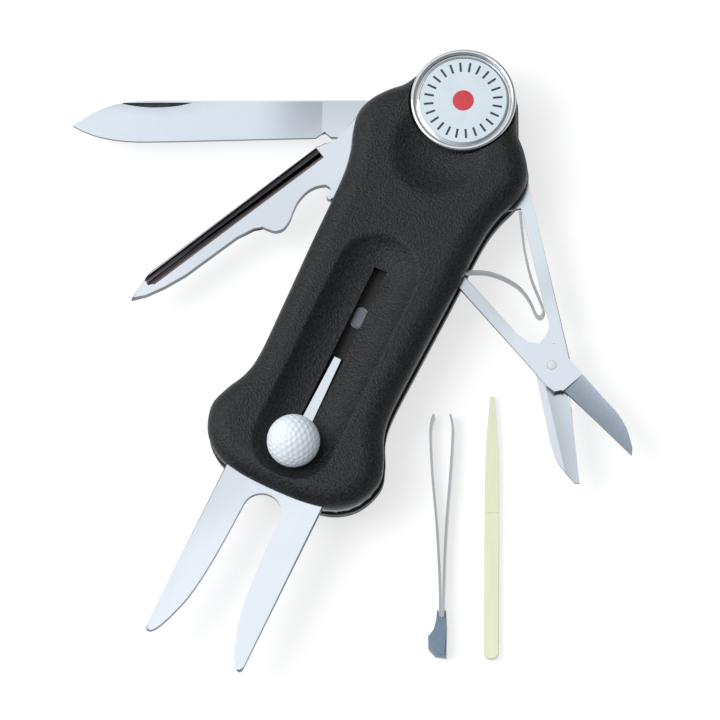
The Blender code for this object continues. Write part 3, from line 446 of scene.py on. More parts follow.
half_outline = handle_half(AROUND)
outline = half_outline + [(-x, y) for x, y in reversed(half_outline[1:-1])]
fine = handle_half(AROUND * 2)
fine = fine + [(-x, y) for x, y in reversed(fine[1:-1])]
tree = kdtree.KDTree(len(fine))
for i, (x, y) in enumerate(fine):
    tree.insert((x, y, 0.0), i)
tree.balance()
print("handle outline:", len(outline), "points")


# %% The height rules
def soft_min(a, b, reach):
    """The lower of two heights, with their crease rounded over."""
    blend = max(reach - abs(a - b), 0.0) / reach
    return min(a, b) - blend * blend * reach / 4


def rounded_edge(distance, width, height):
    """How far a quarter ellipse has risen at a distance from the outline."""
    share = 1 - min(distance / width, 1.0)
    return height * math.sqrt(max(1 - share * share, 0.0))


WALL_HEIGHT, EDGE_WIDTH = 1.05 * MM, 4.4 * MM
BACK_DEPTH, BACK_EDGE_WIDTH = 5.6 * MM, 4.7 * MM
TROUGH_POWER, SCOOP_POWER = 2.7, 2.3
TROUGH_CREASE, SCOOP_CREASE = 0.3 * MM, 0.5 * MM
NET_SPACING = 1.25
TROUGH_LOW, TROUGH_HIGH = KNOB_Y + 0.5 * MM, KNOB_Y + 36.1 * MM
TROUGH_RADIUS, TROUGH_DEPTH = 7.9 * MM, 2.2 * MM
SCOOP_Y, SCOOP_RADIUS, SCOOP_DEPTH = MARKER_Y - 10.6 * MM, 8.8 * MM, 1.9 * MM


def front_height(x, y, distance):
    wall_top = FRONT_Z + WALL_HEIGHT
    edge = wall_top + rounded_edge(distance, EDGE_WIDTH, CROWN_Z - wall_top)
    off_line = max(TROUGH_LOW - y, y - TROUGH_HIGH, 0.0)
    share = math.hypot(x, off_line) / TROUGH_RADIUS
    trough = CROWN_Z - TROUGH_DEPTH * (1 - share**TROUGH_POWER)
    share = math.hypot(x, y - SCOOP_Y) / SCOOP_RADIUS
    scoop = CROWN_Z - SCOOP_DEPTH * (1 - share**SCOOP_POWER)
    return soft_min(soft_min(edge, trough, TROUGH_CREASE), scoop, SCOOP_CREASE)


def back_height(x, y, distance):
    return BACK_DEPTH - rounded_edge(distance, BACK_EDGE_WIDTH, BACK_DEPTH)


def shell_skin(flat_z, height):
    """A closed shell: a flat joint face, a short upright wall, and the net of the outer skin."""
    mesh = bmesh.new()
    inner_low, inner_high = BOTTOM_Y + 14.0 * MM, HEAD_Y
    rings = [[mesh.verts.new((x, y, flat_z)) for x, y in outline]]
    for k in range(ACROSS + 1):
        share = (k / ACROSS) ** NET_SPACING
        ring = []
        for x, y in outline:
            px = x * (1 - share)
            py = y + (min(max(y, inner_low), inner_high) - y) * share
            distance = 0.0 if k == 0 else tree.find((px, py, 0.0))[2]
            ring.append(mesh.verts.new((px, py, height(px, py, distance))))
        rings.append(ring)
    mesh.faces.new(rings[0])
    for low, high in zip(rings, rings[1:]):
        for i in range(len(low)):
            j = (i + 1) % len(low)
            mesh.faces.new((low[i], low[j], high[j], high[i]))
    bmesh.ops.remove_doubles(mesh, verts=mesh.verts, dist=1e-6)
    bmesh.ops.dissolve_degenerate(mesh, edges=mesh.edges, dist=1e-7)
    return mesh


# %% [markdown]
# The front half is open underneath for the fork, along the middle for the knob's stem, and at
# the head for the marker and its magnet.

# %% The front half
stud_low, stud_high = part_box("slot_stud")
fork_low, fork_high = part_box("repair_fork")
FORK_CEILING = fork_high.z + 0.1 * MM
SLOT_HALF, CHANNEL_HALF, TONGUE_CHANNEL_HALF = 1.3 * MM, 10.15 * MM, 1.32 * MM
SLOT_LOW, SLOT_HIGH = KNOB_Y - 1.5 * MM, KNOB_Y + 37.6 * MM
PLATE_END, TONGUE_CHANNEL_END = BOTTOM_Y + 46.4 * MM, KNOB_Y + 54.2 * MM
SEAT_RADIUS, POCKET_RADIUS = 10.3 * MM, 4.06 * MM
SEAT_GAP, HEAD_GAP = 0.05 * MM, 0.06 * MM
under, over = FRONT_Z - 1 * MM, CROWN_Z + 1 * MM
front = solid("front_shell_moulded", shell_skin(FRONT_Z, front_height), (nylon,))
channel_shape = rectangle(-CHANNEL_HALF, BOTTOM_Y - 5 * MM, CHANNEL_HALF, PLATE_END)
channel = prism("fork_channel", channel_shape, under, FORK_CEILING, nylon_painted_shade)
tongue_shape = rectangle(
    -TONGUE_CHANNEL_HALF, PLATE_END - MM, TONGUE_CHANNEL_HALF, TONGUE_CHANNEL_END
)
tongue = prism("tongue_channel", tongue_shape, under, FORK_CEILING, nylon_painted_shade)
slot_shape = rectangle(-SLOT_HALF, SLOT_LOW, SLOT_HALF, SLOT_HIGH)
slot = prism("knob_slot", slot_shape, FRONT_Z + 0.1 * MM, over, nylon_painted_shade)
seat = prism(
    "marker_seat", arc(0, MARKER_Y, SEAT_RADIUS, 120, 0, 357), marker_low.z - SEAT_GAP, over, nylon
)
magnet_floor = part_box("marker_magnet")[0].z - SEAT_GAP
pocket = prism(
    "magnet_pocket", arc(0, MARKER_Y, POCKET_RADIUS, 48, 0, 352.5), magnet_floor, over, nylon_painted_shade
)
heads = []
for node in (
    "left_pivot_rivet", "right_pivot_rivet", "left_lower_rivet", "right_lower_rivet", "head_rivet"
):
    low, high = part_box(node)
    middle = (low + high) / 2
    radius = (high.x - low.x) / 2 + HEAD_GAP
    shape = arc(middle.x, middle.y, radius, 24, 0, 345)
    heads.append((node, shape, low.z - SEAT_GAP, high.z + SEAT_GAP))
head_cuts = [prism(n + "_head", o, under, top, nylon_painted_shade) for n, o, _, top in heads]
# The faces that the cutters leave inside take the darker nylon, painted shade.
carve(front, channel, tongue, slot, seat, pocket, *head_cuts)
hand_over(front, "handle", "front_shell")

# %% [markdown]
# The back half holds the blade's layer, two stowage slots, and the opening that the blade folds
# into. Only its rounded back is seen, so the cuts are plain boxes.

# %% The back half
back_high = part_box("back_shell")[1]
FLOOR_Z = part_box("back_liner")[0].z - SEAT_GAP
WALL = 1.5 * MM
over = back_high.z + 1 * MM
back = solid("back_shell_moulded", shell_skin(back_high.z, back_height), (nylon,))


def inset(points, distance):
    """The closed outline moved inwards."""
    moved = []
    for i, (x, y) in enumerate(points):
        (ax, ay), (bx, by) = points[i - 1], points[(i + 1) % len(points)]
        length = math.hypot(bx - ax, by - ay)
        moved.append((x - distance * (by - ay) / length, y + distance * (bx - ax) / length))
    return moved


layer = prism("blade_layer_pocket", inset(outline, WALL), FLOOR_Z, over, nylon_painted_shade)
side_shape = rectangle(-40 * MM, -32.7 * MM, -5.45 * MM, TOP_Y + 5 * MM)
opening = prism("blade_side_opening", side_shape, FLOOR_Z, over, nylon_painted_shade)
slot_top = FLOOR_Z + 0.05 * MM
pick_shape = rectangle(1.5 * MM, BOTTOM_Y - MM, 4.8 * MM, BOTTOM_Y + 51 * MM)
pick_slot = prism("toothpick_slot", pick_shape, 2.9 * MM, slot_top, nylon_painted_shade)
grip_shape = rectangle(-4.9 * MM, BOTTOM_Y - MM, -1.5 * MM, BOTTOM_Y + 47 * MM)
grip_slot = prism("tweezers_slot", grip_shape, 2.6 * MM, slot_top, nylon_painted_shade)
foot_cuts = [prism(n + "_foot", o, low, over, nylon_painted_shade) for n, o, low, _ in heads]
# The faces that the cutters leave inside take the darker nylon, painted shade.
carve(back, layer, opening, pick_slot, grip_slot, *foot_cuts)
hand_over(back, "handle", "back_shell")

# %% [markdown]
# Under the slot lies a thin black sheet: painted shade, which keeps the floor of the slot dark. A
# bright oval stud comes up through it; its steel is tinted dark, painted shade for the depth of the
# slot, so only its highlights show bright.

# %% The painted shade sheet and the stud
liner_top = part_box("front_liner")[1].z
stud_y = (stud_high.y + stud_low.y) / 2
broad, narrow = 9.5 * MM, 1.25 * MM
strip_bottom, strip_step, strip_top = BOTTOM_Y + 2 * MM, PLATE_END - 0.2 * MM, KNOB_Y + 39.5 * MM
right_side = [(broad, strip_bottom), (broad, strip_step), (narrow, strip_step), (narrow, strip_top)]
left_side = [(-x, y) for x, y in reversed(right_side)]
strip_outline = left_side[-1:] + right_side + left_side[:-1]
strip_low, strip_high = liner_top + 0.02 * MM, liner_top + 0.07 * MM
# The sheet and its sides are dark nylon, painted shade for the floor of the slot.
strip = plate(
    "slot_painted_shade_sheet", strip_outline, strip_low, strip_high, 0.01 * MM, nylon_painted_shade, nylon_painted_shade
)
hole_shape = stadium(0, stud_y - 0.9 * MM, stud_y + 0.9 * MM, 1.2 * MM)
stud_hole = prism("stud_hole", hole_shape, liner_top - MM, liner_top + MM, nylon_painted_shade)
carve(strip, stud_hole)
hand_over(strip, "handle", None)
stud_shape = stadium(0, stud_y - 0.88 * MM, stud_y + 0.88 * MM, 1.08 * MM)
# The stud takes the dark-tinted steel, painted shade for the inside of the slot.
stud = plate(
    "slot_stud_domed", stud_shape, stud_low.z, stud_high.z + 0.03 * MM, 0.1 * MM, stud_steel_painted_shade
)
settle(stud, CUT_ANGLE)
hand_over(stud, "handle", "slot_stud")

# %% [markdown]
# ## The folding tools
#
# Every tool is drawn about its own pivot, along +X, and then turned to where it stands open.
# A ground facet is a wedge that falls away from a line on the upper face. Its hollow follows a
# shallow curve, as a grinding wheel leaves it, and that curve gives the long soft reflections.


# %% Ground facets
HOLLOW_STEPS = 16


def hollow(name, x0, x1, y0, y1, top, drop, place, turn, finish, upside=1):
    """A cutter over x0 to x1 whose floor falls by drop from y0 to y1, in a shallow curve."""
    rings = []
    for x in (x0, x1):
        line = []
        for i in range(HOLLOW_STEPS + 1):
            t = i / HOLLOW_STEPS
            fall = drop * (1.5 * t - 0.5 * t * t)
            line.append((x, y0 + (y1 - y0) * t, top - upside * fall))
        line += [(x, y1, top + upside), (x, y0, top + upside)]
        rings.append(line)
    c, s = math.cos(math.radians(turn)), math.sin(math.radians(turn))

    def stood(point):
        x, y, z = point
        return (place[0] + (c * x - s * y) * MM, place[1] + (s * x + c * y) * MM, z * MM)

    world = [[stood(point) for point in ring] for ring in rings]
    return solid(name, loft(world), (finish,))


left_pivot = joint["blade_hinge"]["pos_m"]
right_pivot = joint["scissors_hinge"]["pos_m"]
small_rivet = joint["lever_hinge"]["pos_m"]
TANG, BORE, SMALL_BORE = 3.9, 1.26, 0.66
TOOL_BEVEL, LEVER_BEVEL, FORK_BEVEL = 0.16 * MM, 0.14 * MM, 0.26 * MM


# Bores are lined with the same painted shade as the plates' sides.
def bore(name, at, radius=BORE):
    return prism(
        name, arc(at[0], at[1], radius * MM, 32, 0, 348.75), at[2] - 4 * MM, at[2] + 4 * MM, painted_edge_shade
    )


# %% The blade
length, width, grind_start = 62.5, 7.95, 15.2
spine, edge = width * 0.345, width * 0.655
back = [(-13.9, 0.0), (-9.5, 0.42), (-6.0, 1.4), (-3.0, 2.85), (0.0, 4.85)]
belly = [
    (0.0, -spine + 4.85 - edge),
    (-2.2, -1.95),
    (-5.0, -0.95),
    (-8.5, -0.28),
    (-12.5, 0.0),
    (-19.0, -0.05),
]
tip = smooth([(length + x, y - spine) for x, y in back])
tip += smooth([(length + x, edge + y) for x, y in belly])[1:]
choil = [(16.4, edge - 0.7), (14.7, edge - 1.9), (13.5, edge - 0.7), (11.0, edge - 0.6)]
shape = [(4.0, -spine)] + tip + choil + [(7.5, edge - 0.6), (4.5, TANG - 0.2)] + arc(
    0, 0, TANG, 20, 90, 150
)
low, high = (corner.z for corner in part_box("blade"))
blade = plate(
    "blade_ground", placed(shape, left_pivot, BLADE_TURN), low, high, TOOL_BEVEL, blade_steel
)
top, bottom = high / MM, low / MM
across = (-spine + 0.25, edge + 0.6)
grinds = [
    hollow("upper_grind", grind_start, 70.0, *across, top, 0.4, left_pivot, BLADE_TURN, ground),
    hollow(
        "lower_grind", grind_start, 70.0, *across, bottom, 0.2, left_pivot, BLADE_TURN, ground, -1
    ),
]
nick_low = [(39.8, 0.42), (43.0, 1.1), (47.0, 1.35), (50.5, 1.1), (54.0, 0.45)]
nick_outline = smooth([(x, y - spine) for x, y in nick_low])
# The nick is lined with the grooves' painted shade.
nick = prism(
    "nail_nick",
    placed(nick_outline, left_pivot, BLADE_TURN),
    high - 0.45 * MM,
    high + MM,
    painted_groove_shade,
)
carve(blade, *grinds, nick, bore("blade_bore", left_pivot))
hand_over(blade, "blade", "blade")

# %% The groove cleaner
length = 62.6
shape = [
    (length, -2.24),
    (length - 2.5, -1.19),
    (length - 6.3, -0.29),
    (length - 10.8, 0.31),
    (39.6, 0.46),
    (36.0, 0.96),
]
shape += smooth(
    [
        (34.7, 1.66),
        (34.0, 2.91),
        (33.2, 4.01),
        (31.8, 4.56),
        (30.0, 4.11),
        (28.2, 3.01),
        (26.2, 2.01),
    ]
    + [
        (23.8, 1.56),
        (21.8, 1.86),
        (20.1, 2.81),
        (19.8, 3.81),
        (20.6, 4.51),
        (21.6, 4.81),
        (21.2, 5.71),
    ],
    6,
)
shape += [(19.1, 5.9), (10.0, 5.0), (4.5, TANG - 0.2)] + arc(0, 0, TANG, 16, 90, 130)
shape += [(2.4, -4.0), (7.0, -4.5), (10.6, -3.5), (13.8, -2.8), (15.2, -3.8), (16.8, -4.24)]
shape += [(length - 6.0, -4.24), (length - 3.8, -3.69)]
low, high = (corner.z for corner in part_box("groove_cleaner"))
left_cleaner = (left_pivot[0], left_pivot[1], joint["cleaner_hinge"]["pos_m"][2])
cleaner = plate(
    "groove_cleaner_cut",
    placed(shape, left_cleaner, CLEANER_TURN),
    low,
    high,
    TOOL_BEVEL,
    cleaner_steel,
)
grooves = []
# The step and the grooves take the painted shade finishes.
for name, y0, y1, depth, finish in (
    ("step", -4.1, -1.75, 0.3, painted_step_shadow),
    ("outer_groove", -4.05, -3.2, 0.75, painted_groove_shade),
    ("inner_groove", -3.1, -2.2, 0.75, painted_groove_shade),
):
    line = [
        (17.2, y0),
        (length - 4.6, y0 + 0.15),
        (length - 4.0, (y0 + y1) / 2 + 0.3),
        (length - 5.2, y1),
        (17.2, y1),
    ]
    grooves.append(
        prism(name, placed(line, left_cleaner, CLEANER_TURN), high - depth * MM, high + MM, finish)
    )
carve(cleaner, *grooves, bore("cleaner_bore", left_cleaner))
hand_over(cleaner, "cleaner", "groove_cleaner")

# %% [markdown]
# The scissors are two stamped levers on one small rivet. They are drawn about that rivet, with
# the cutting ends along +X.

# %% The scissors' levers
width, tip, reach, outer = 2.3, 23.3, 42.4, 3.6
inner = outer - width
shape = [
    (tip, 0.0), (12.0, 1.3), (6.4, 1.9), (1.5, outer), (-reach + 7.5, outer), (-reach + 4.0, TANG)
]
shape += arc(-reach, 0, TANG, 20, 80, 180)
shape += [(-reach + 10.2, -2.4), (-reach + 10.6, -2.0), (-reach + 10.6, inner)]
shape += smooth(
    [(-11.3, inner - 0.1), (-8.5, inner), (-6.6, 0.5), (-4.6, -1.6), (-2.0, -3.1), (1.0, -3.3)], 8
)
shape += smooth([(13.5, -3.6), (17.4, -3.3), (20.2, -2.35), (tip - 0.3, -0.9)], 8)
low, high = (corner.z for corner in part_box("scissor_long_lever"))
long_lever = plate(
    "scissor_long_lever_ground",
    placed(shape, small_rivet, SCISSOR_TURN),
    low,
    high,
    LEVER_BEVEL,
    lever_steel,
)
facet = hollow(
    "long_grind", 3.5, 30.0, -2.2, 1.7, high / MM, 0.35, small_rivet, SCISSOR_TURN, lever_steel
)
carve(long_lever, facet, bore("tang_bore", right_pivot), bore("long_bore", small_rivet, SMALL_BORE))
hand_over(long_lever, "scissors", "scissor_long_lever")

shape = [(-25.5, -0.75), (-9.0, -0.95)] + smooth(
    [(-6.6, -0.5), (-4.5, 1.35), (-2.9, 3.1), (-1.2, 3.3)], 8
)
shape += smooth([(11.5, 3.0), (15.5, 3.0), (18.8, 2.3), (22.2, 0.7)], 8) + [(tip - 0.1, -0.4)]
shape += [(5.3, -1.4), (4.7, -1.9), (4.3, -3.2), (2.6, -3.3), (-6.7, -3.2), (-25.5, -0.75 - width)]
low, high = (corner.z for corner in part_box("scissor_short_lever"))
short_lever = plate(
    "scissor_short_lever_ground",
    placed(shape[::-1], small_rivet, SHORT_TURN),
    low,
    high,
    LEVER_BEVEL,
    lever_steel,
)
# The facet takes the darker copy of the lever steel, painted shade.
facet = hollow(
    "short_grind", 5.2, 30.0, 3.3, -1.9, high / MM, 0.6, small_rivet, SHORT_TURN, painted_lever_facet_shade
)
carve(short_lever, facet, bore("short_bore", small_rivet, SMALL_BORE))
hand_over(short_lever, "scissor_lever", "scissor_short_lever")

# %% [markdown]
# The fork is one flat plate: two prongs that taper outside the handle, and a long narrow tongue
# that carries the knob inside it.

# %% The fork
FORK_TIP = fork_low.y
half, root, root_radius = 10.05 * MM, FORK_TIP + 33.2 * MM, 3.75 * MM
prong = ((0.9, 0.02), (1.7, 0.75), (2.6, 2.4), (3.5, 4.8), (4.5, 8.1), (5.2, 11.8), (5.75, 17.0))
inner = [(half - x * MM, FORK_TIP + y * MM) for x, y in prong]
inner += [(root_radius + 0.2 * MM, FORK_TIP + 23.4 * MM), (root_radius, root - root_radius)]
inner = smooth(inner, 8)
gap = arc(0, root - root_radius, root_radius, 48, 0, 180)
inside, tongue_half, tongue_end = BOTTOM_Y + 11.5 * MM, 0.9 * MM, KNOB_Y + 18.95 * MM
side = [
    (-half + 0.35 * MM, FORK_TIP),
    (-half + 0.1 * MM, FORK_TIP + 0.35 * MM),
    (-half, FORK_TIP + 1.05 * MM),
]
rear = [(-half, inside), (-tongue_half, inside), (-tongue_half, tongue_end)]
shape = inner[:-1] + gap + [(-x, y) for x, y in reversed(inner)][1:]
shape += side + rear + [(-x, y) for x, y in reversed(rear)] + [(-x, y) for x, y in reversed(side)]
fork = plate("repair_fork_bevelled", shape[::-1], fork_low.z, fork_high.z, FORK_BEVEL, fork_steel)
under_fork, sink_top = fork_low.z - MM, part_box("knob_rivet")[0].z + 0.55 * MM
hole_shape = arc(0, KNOB_Y, SMALL_BORE * MM, 24, 0, 345)
# The rivet's hole and sink are lined with the plates' painted shade.
hole = prism("knob_rivet_hole", hole_shape, under_fork, fork_high.z + MM, painted_edge_shade)
sink = prism(
    "knob_rivet_sink", arc(0, KNOB_Y, 1.46 * MM, 32, 0, 348.75), under_fork, sink_top, painted_edge_shade
)
carve(fork, hole, sink)
hand_over(fork, "fork", "repair_fork")

# %% [markdown]
# ## Round pieces
#
# The marker's rim and the rivets are turned on a lathe: a profile of (radius, height) points
# swept about an upright axis.


# %% A lathe
def turned(name, profile, x, y, finish, sides=96):
    rings = [level(arc(x, y, radius, sides, 0, 360 - 360 / sides), z) for radius, z in profile]
    made = solid(name, loft(rings), (finish,))
    made.data.shade_smooth()
    made.data.set_sharp_from_angle(angle=math.radians(TURNED_ANGLE))
    return made


base, bead, bead_radius, bead_height = marker_low.z, 0.5, 9.5, 1.68
rim = [(9.3, 0.0), (9.8, 0.15), (10.0, 0.55)]
for turn in range(0, 176, 12):
    angle = math.radians(turn)
    rim.append((bead_radius + bead * math.cos(angle), bead_height + bead * math.sin(angle)))
rim += [(8.98, 1.45), (8.9, 1.2), (8.72, 1.18), (8.66, 1.5), (8.36, 1.62), (8.3, 1.55), (8.3, 0.62)]
cup = turned(
    "marker_rim_beaded", [(r * MM, base + z * MM) for r, z in rim], 0.0, MARKER_Y, chrome, 128
)
hand_over(cup, "marker", "marker_cup")
face = [(8.24, 0.66), (8.26, 1.48), (8.2, 1.54)]
disc = turned(
    "marker_face_enamelled", [(r * MM, base + z * MM) for r, z in face], 0.0, MARKER_Y, enamel, 96
)
hand_over(disc, "marker", "marker_disc")
DISC_TOP = base + 1.54 * MM
rivet_low, rivet_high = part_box("scissor_rivet")
tall, round_head = (rivet_high.z - rivet_low.z) / MM, (rivet_high.x - rivet_low.x) / 2 / MM
head = [
    (0.6, 0.0),
    (0.6, tall - 0.12),
    (round_head, tall - 0.11),
    (round_head - 0.06, tall - 0.05),
    (0.5, tall - 0.02),
]
head = [(r * MM, rivet_low.z + z * MM) for r, z in head]
pin = turned("scissor_rivet_headed", head, *small_rivet[:2], chrome, 32)
hand_over(pin, "scissors", "scissor_rivet")


# %% [markdown]
# ## Geometry Nodes
#
# Three kinds of shape here follow a rule, so Geometry Nodes make them: dimples spread over a
# ball, marks repeated round a circle, and strips of steel that follow a bent line.


# %% A node tree with named inputs
def new_tree(name, sizes):
    """A tree, its first node, its last node, and the identifier of each named size."""
    made = bpy.data.node_groups.new(name, "GeometryNodeTree")
    made.interface.new_socket("Geometry", in_out="INPUT", socket_type="NodeSocketGeometry")
    ids = {}
    for size, kind in sizes:
        socket = made.interface.new_socket(size, in_out="INPUT", socket_type=kind)
        ids[size] = socket.identifier
    made.interface.new_socket("Geometry", in_out="OUTPUT", socket_type="NodeSocketGeometry")
    return made, made.nodes.new("NodeGroupInput"), made.nodes.new("NodeGroupOutput"), ids


def add(made, kind, links=(), **settings):
    """A node with its properties set and its inputs linked or filled."""
    node = made.nodes.new(kind)
    for key, value in settings.items():
        setattr(node, key, value)
    for key, value in links:
        socket = node.inputs[key]
        if isinstance(value, bpy.types.NodeSocket):
            made.links.new(value, socket)
        else:
            socket.default_value = value
    return node


def end_tree(made, last, geometry, finish):
    real = add(made, "GeometryNodeRealizeInstances", [(0, geometry)])
    coat = add(
        made, "GeometryNodeSetMaterial", [("Geometry", real.outputs[0]), ("Material", finish)]
    )
    made.links.new(coat.outputs[0], last.inputs[0])


def grown(name, seed, made, values):
    """A plain mesh of what the tree makes from the seed mesh."""
    piece = bpy.data.objects.new(name, seed)
    bpy.context.scene.collection.objects.link(piece)
    modifier = piece.modifiers.new(made.name, "NODES")
    modifier.node_group = made
    for identifier, value in values.items():
        modifier[identifier] = value
    return settle(piece, GROWN_ANGLE)


# %% The dimpled ball
FLOAT, INT = "NodeSocketFloat", "NodeSocketInt"
ball_tree, first, last, ball_ids = new_tree(
    "dimpled_ball",
    (("Radius", FLOAT), ("Dimple Radius", FLOAT), ("Dimple Depth", FLOAT), ("Flat Below", FLOAT)),
)
size = first.outputs
ball = add(
    ball_tree,
    "GeometryNodeMeshIcoSphere",
    [("Radius", size["Radius"]), ("Subdivisions", 7)],
)
where = add(ball_tree, "GeometryNodeInputPosition")
near = add(ball_tree, "GeometryNodeProximity", [(0, size["Geometry"])], target_element="POINTS")
bowl = add(
    ball_tree,
    "ShaderNodeMapRange",
    [
        ("Value", near.outputs["Distance"]),
        ("From Max", size["Dimple Radius"]),
        ("To Min", size["Dimple Depth"]),
        ("To Max", 0.0),
    ],
    interpolation_type="SMOOTHSTEP",
)
outward = add(ball_tree, "ShaderNodeVectorMath", [(0, where.outputs[0])], operation="NORMALIZE")
minus = add(
    ball_tree, "ShaderNodeMath", [(0, bowl.outputs["Result"]), (1, -1.0)], operation="MULTIPLY"
)
push = add(
    ball_tree,
    "ShaderNodeVectorMath",
    [(0, outward.outputs[0]), ("Scale", minus.outputs[0])],
    operation="SCALE",
)
dented = add(
    ball_tree,
    "GeometryNodeSetPosition",
    [("Geometry", ball.outputs["Mesh"]), ("Offset", push.outputs[0])],
)
again = add(ball_tree, "GeometryNodeInputPosition")
parts = add(ball_tree, "ShaderNodeSeparateXYZ", [(0, again.outputs[0])])
floor_z = add(
    ball_tree,
    "ShaderNodeMath",
    [(0, parts.outputs[2]), (1, size["Flat Below"])],
    operation="MAXIMUM",
)
flat = add(
    ball_tree,
    "ShaderNodeCombineXYZ",
    [(0, parts.outputs[0]), (1, parts.outputs[1]), (2, floor_z.outputs[0])],
)
seated = add(
    ball_tree,
    "GeometryNodeSetPosition",
    [("Geometry", dented.outputs[0]), ("Position", flat.outputs[0])],
)
end_tree(ball_tree, last, seated.outputs[0], ball_white)


def dimple_centres(radius, frequency):
    """Points spread evenly over a sphere: an icosahedron whose faces are split into rows."""
    mesh = bmesh.new()
    bmesh.ops.create_icosphere(mesh, subdivisions=1, radius=1.0)
    found = set()
    for f in mesh.faces:
        a, b, c = (v.co for v in f.verts)
        for i in range(frequency + 1):
            for j in range(frequency + 1 - i):
                p = (a * i + b * j + c * (frequency - i - j)).normalized() * radius
                found.add(tuple(round(n, 7) for n in p))
    mesh.free()
    data = bpy.data.meshes.new("dimple_centres")
    data.from_pydata(sorted(found), [], [])
    return data


BALL_RADIUS = knob_high.y - KNOB_Y
BALL_Z = knob_high.z - BALL_RADIUS
DIMPLE_FREQUENCY, BALL_TURN = 5, 14
values = {"Radius": BALL_RADIUS, "Flat Below": -2.0 * MM}
values.update({"Dimple Radius": 0.62 * MM, "Dimple Depth": 0.13 * MM})
values = {ball_ids[key]: value for key, value in values.items()}
knob = grown("ball_knob_dimpled", dimple_centres(BALL_RADIUS, DIMPLE_FREQUENCY), ball_tree, values)
lean = Matrix.Rotation(math.radians(BALL_TURN), 4, "Z")
knob.data.transform(Matrix.Translation((0, KNOB_Y, BALL_Z)) @ lean)
stem = turned(
    "knob_stem", [(1.1 * MM, knob_low.z), (1.1 * MM, BALL_Z - 1.9 * MM)], 0, KNOB_Y, ball_white, 32
)
merged = bmesh.new()
merged.from_mesh(knob.data)
merged.from_mesh(stem.data)
merged.to_mesh(knob.data)
merged.free()
bpy.data.objects.remove(stem)
hand_over(knob, "fork", "ball_knob")

# %% [markdown]
# The marker's face carries a plain ring of hour marks and one red spot. They are thin printed
# layers, so they are very flat solids just above the enamel.

# %% The printed marks
mark_tree, first, last, mark_ids = new_tree(
    "ring_of_marks",
    (
        ("Count", INT),
        ("Ring Radius", FLOAT),
        ("Mark Length", FLOAT),
        ("Mark Width", FLOAT),
        ("Thickness", FLOAT),
    ),
)
size = first.outputs
ring = add(
    mark_tree,
    "GeometryNodeMeshCircle",
    [("Vertices", size["Count"]), ("Radius", size["Ring Radius"])],
)
block = add(
    mark_tree,
    "ShaderNodeCombineXYZ",
    [(0, size["Mark Length"]), (1, size["Mark Width"]), (2, size["Thickness"])],
)
mark = add(mark_tree, "GeometryNodeMeshCube", [("Size", block.outputs[0])])
number = add(mark_tree, "GeometryNodeInputIndex")
step = add(mark_tree, "ShaderNodeMath", [(0, math.tau), (1, size["Count"])], operation="DIVIDE")
angle = add(
    mark_tree,
    "ShaderNodeMath",
    [(0, number.outputs[0]), (1, step.outputs[0])],
    operation="MULTIPLY",
)
turn = add(mark_tree, "ShaderNodeCombineXYZ", [(2, angle.outputs[0])])
marks = add(
    mark_tree,
    "GeometryNodeInstanceOnPoints",
    [
        ("Points", ring.outputs[0]),
        ("Instance", mark.outputs["Mesh"]),
        ("Rotation", turn.outputs[0]),
    ],
)
end_tree(mark_tree, last, marks.outputs[0], ink)


def printed_ring(name, **wanted):
    values = {mark_ids[key]: value for key, value in wanted.items()}
    made = grown(name, bpy.data.meshes.new(name), mark_tree, values)
    made.data.transform(Matrix.Translation((0, MARKER_Y, DISC_TOP + 0.02 * MM)))
    hand_over(made, "marker", None)


sizes = {"Count": 24, "Ring Radius": 6.55 * MM, "Thickness": 0.03 * MM}
sizes.update({"Mark Length": 1.8 * MM, "Mark Width": 0.4 * MM})
printed_ring("hour_marks", **sizes)
spot = [(2.0, 0.005), (2.0, 0.035), (1.95, 0.04)]
red_spot = turned("red_spot", [(r * MM, DISC_TOP + z * MM) for r, z in spot], 0, MARKER_Y, red, 64)
hand_over(red_spot, "marker", None)

# %% [markdown]
# The scissors' spring and the tweezers' leaves are strips of steel on edge. Each is a line of
# points with a rectangle drawn along it.

# %% Strips along a line
strip_tree, first, last, strip_ids = new_tree(
    "steel_strip", (("Thickness", FLOAT), ("Height", FLOAT), ("Steps", INT))
)
size = first.outputs
line = add(strip_tree, "GeometryNodeMeshToCurve", [("Mesh", size["Geometry"])])
even = add(
    strip_tree, "GeometryNodeResampleCurve", [("Curve", line.outputs[0]), ("Count", size["Steps"])]
)
upright = add(strip_tree, "GeometryNodeSetCurveNormal", [("Curve", even.outputs[0])], mode="Z_UP")
section = add(
    strip_tree,
    "GeometryNodeCurvePrimitiveQuadrilateral",
    [("Width", size["Thickness"]), ("Height", size["Height"])],
)
swept = add(
    strip_tree,
    "GeometryNodeCurveToMesh",
    [("Curve", upright.outputs[0]), ("Profile Curve", section.outputs[0]), ("Fill Caps", True)],
)
end_tree(strip_tree, last, swept.outputs[0], spring_steel)


SPRING_THICKNESS, LEAF_THICKNESS = 0.45 * MM, 0.4 * MM


def steel_strip(name, route, thickness, low, high):
    line = bpy.data.meshes.new(name + "_line")
    points = [(x, y, (low + high) / 2) for x, y in route]
    line.from_pydata(points, [(i, i + 1) for i in range(len(points) - 1)], [])
    values = {"Thickness": thickness, "Height": high - low, "Steps": len(points)}
    return grown(name, line, strip_tree, {strip_ids[k]: v for k, v in values.items()})


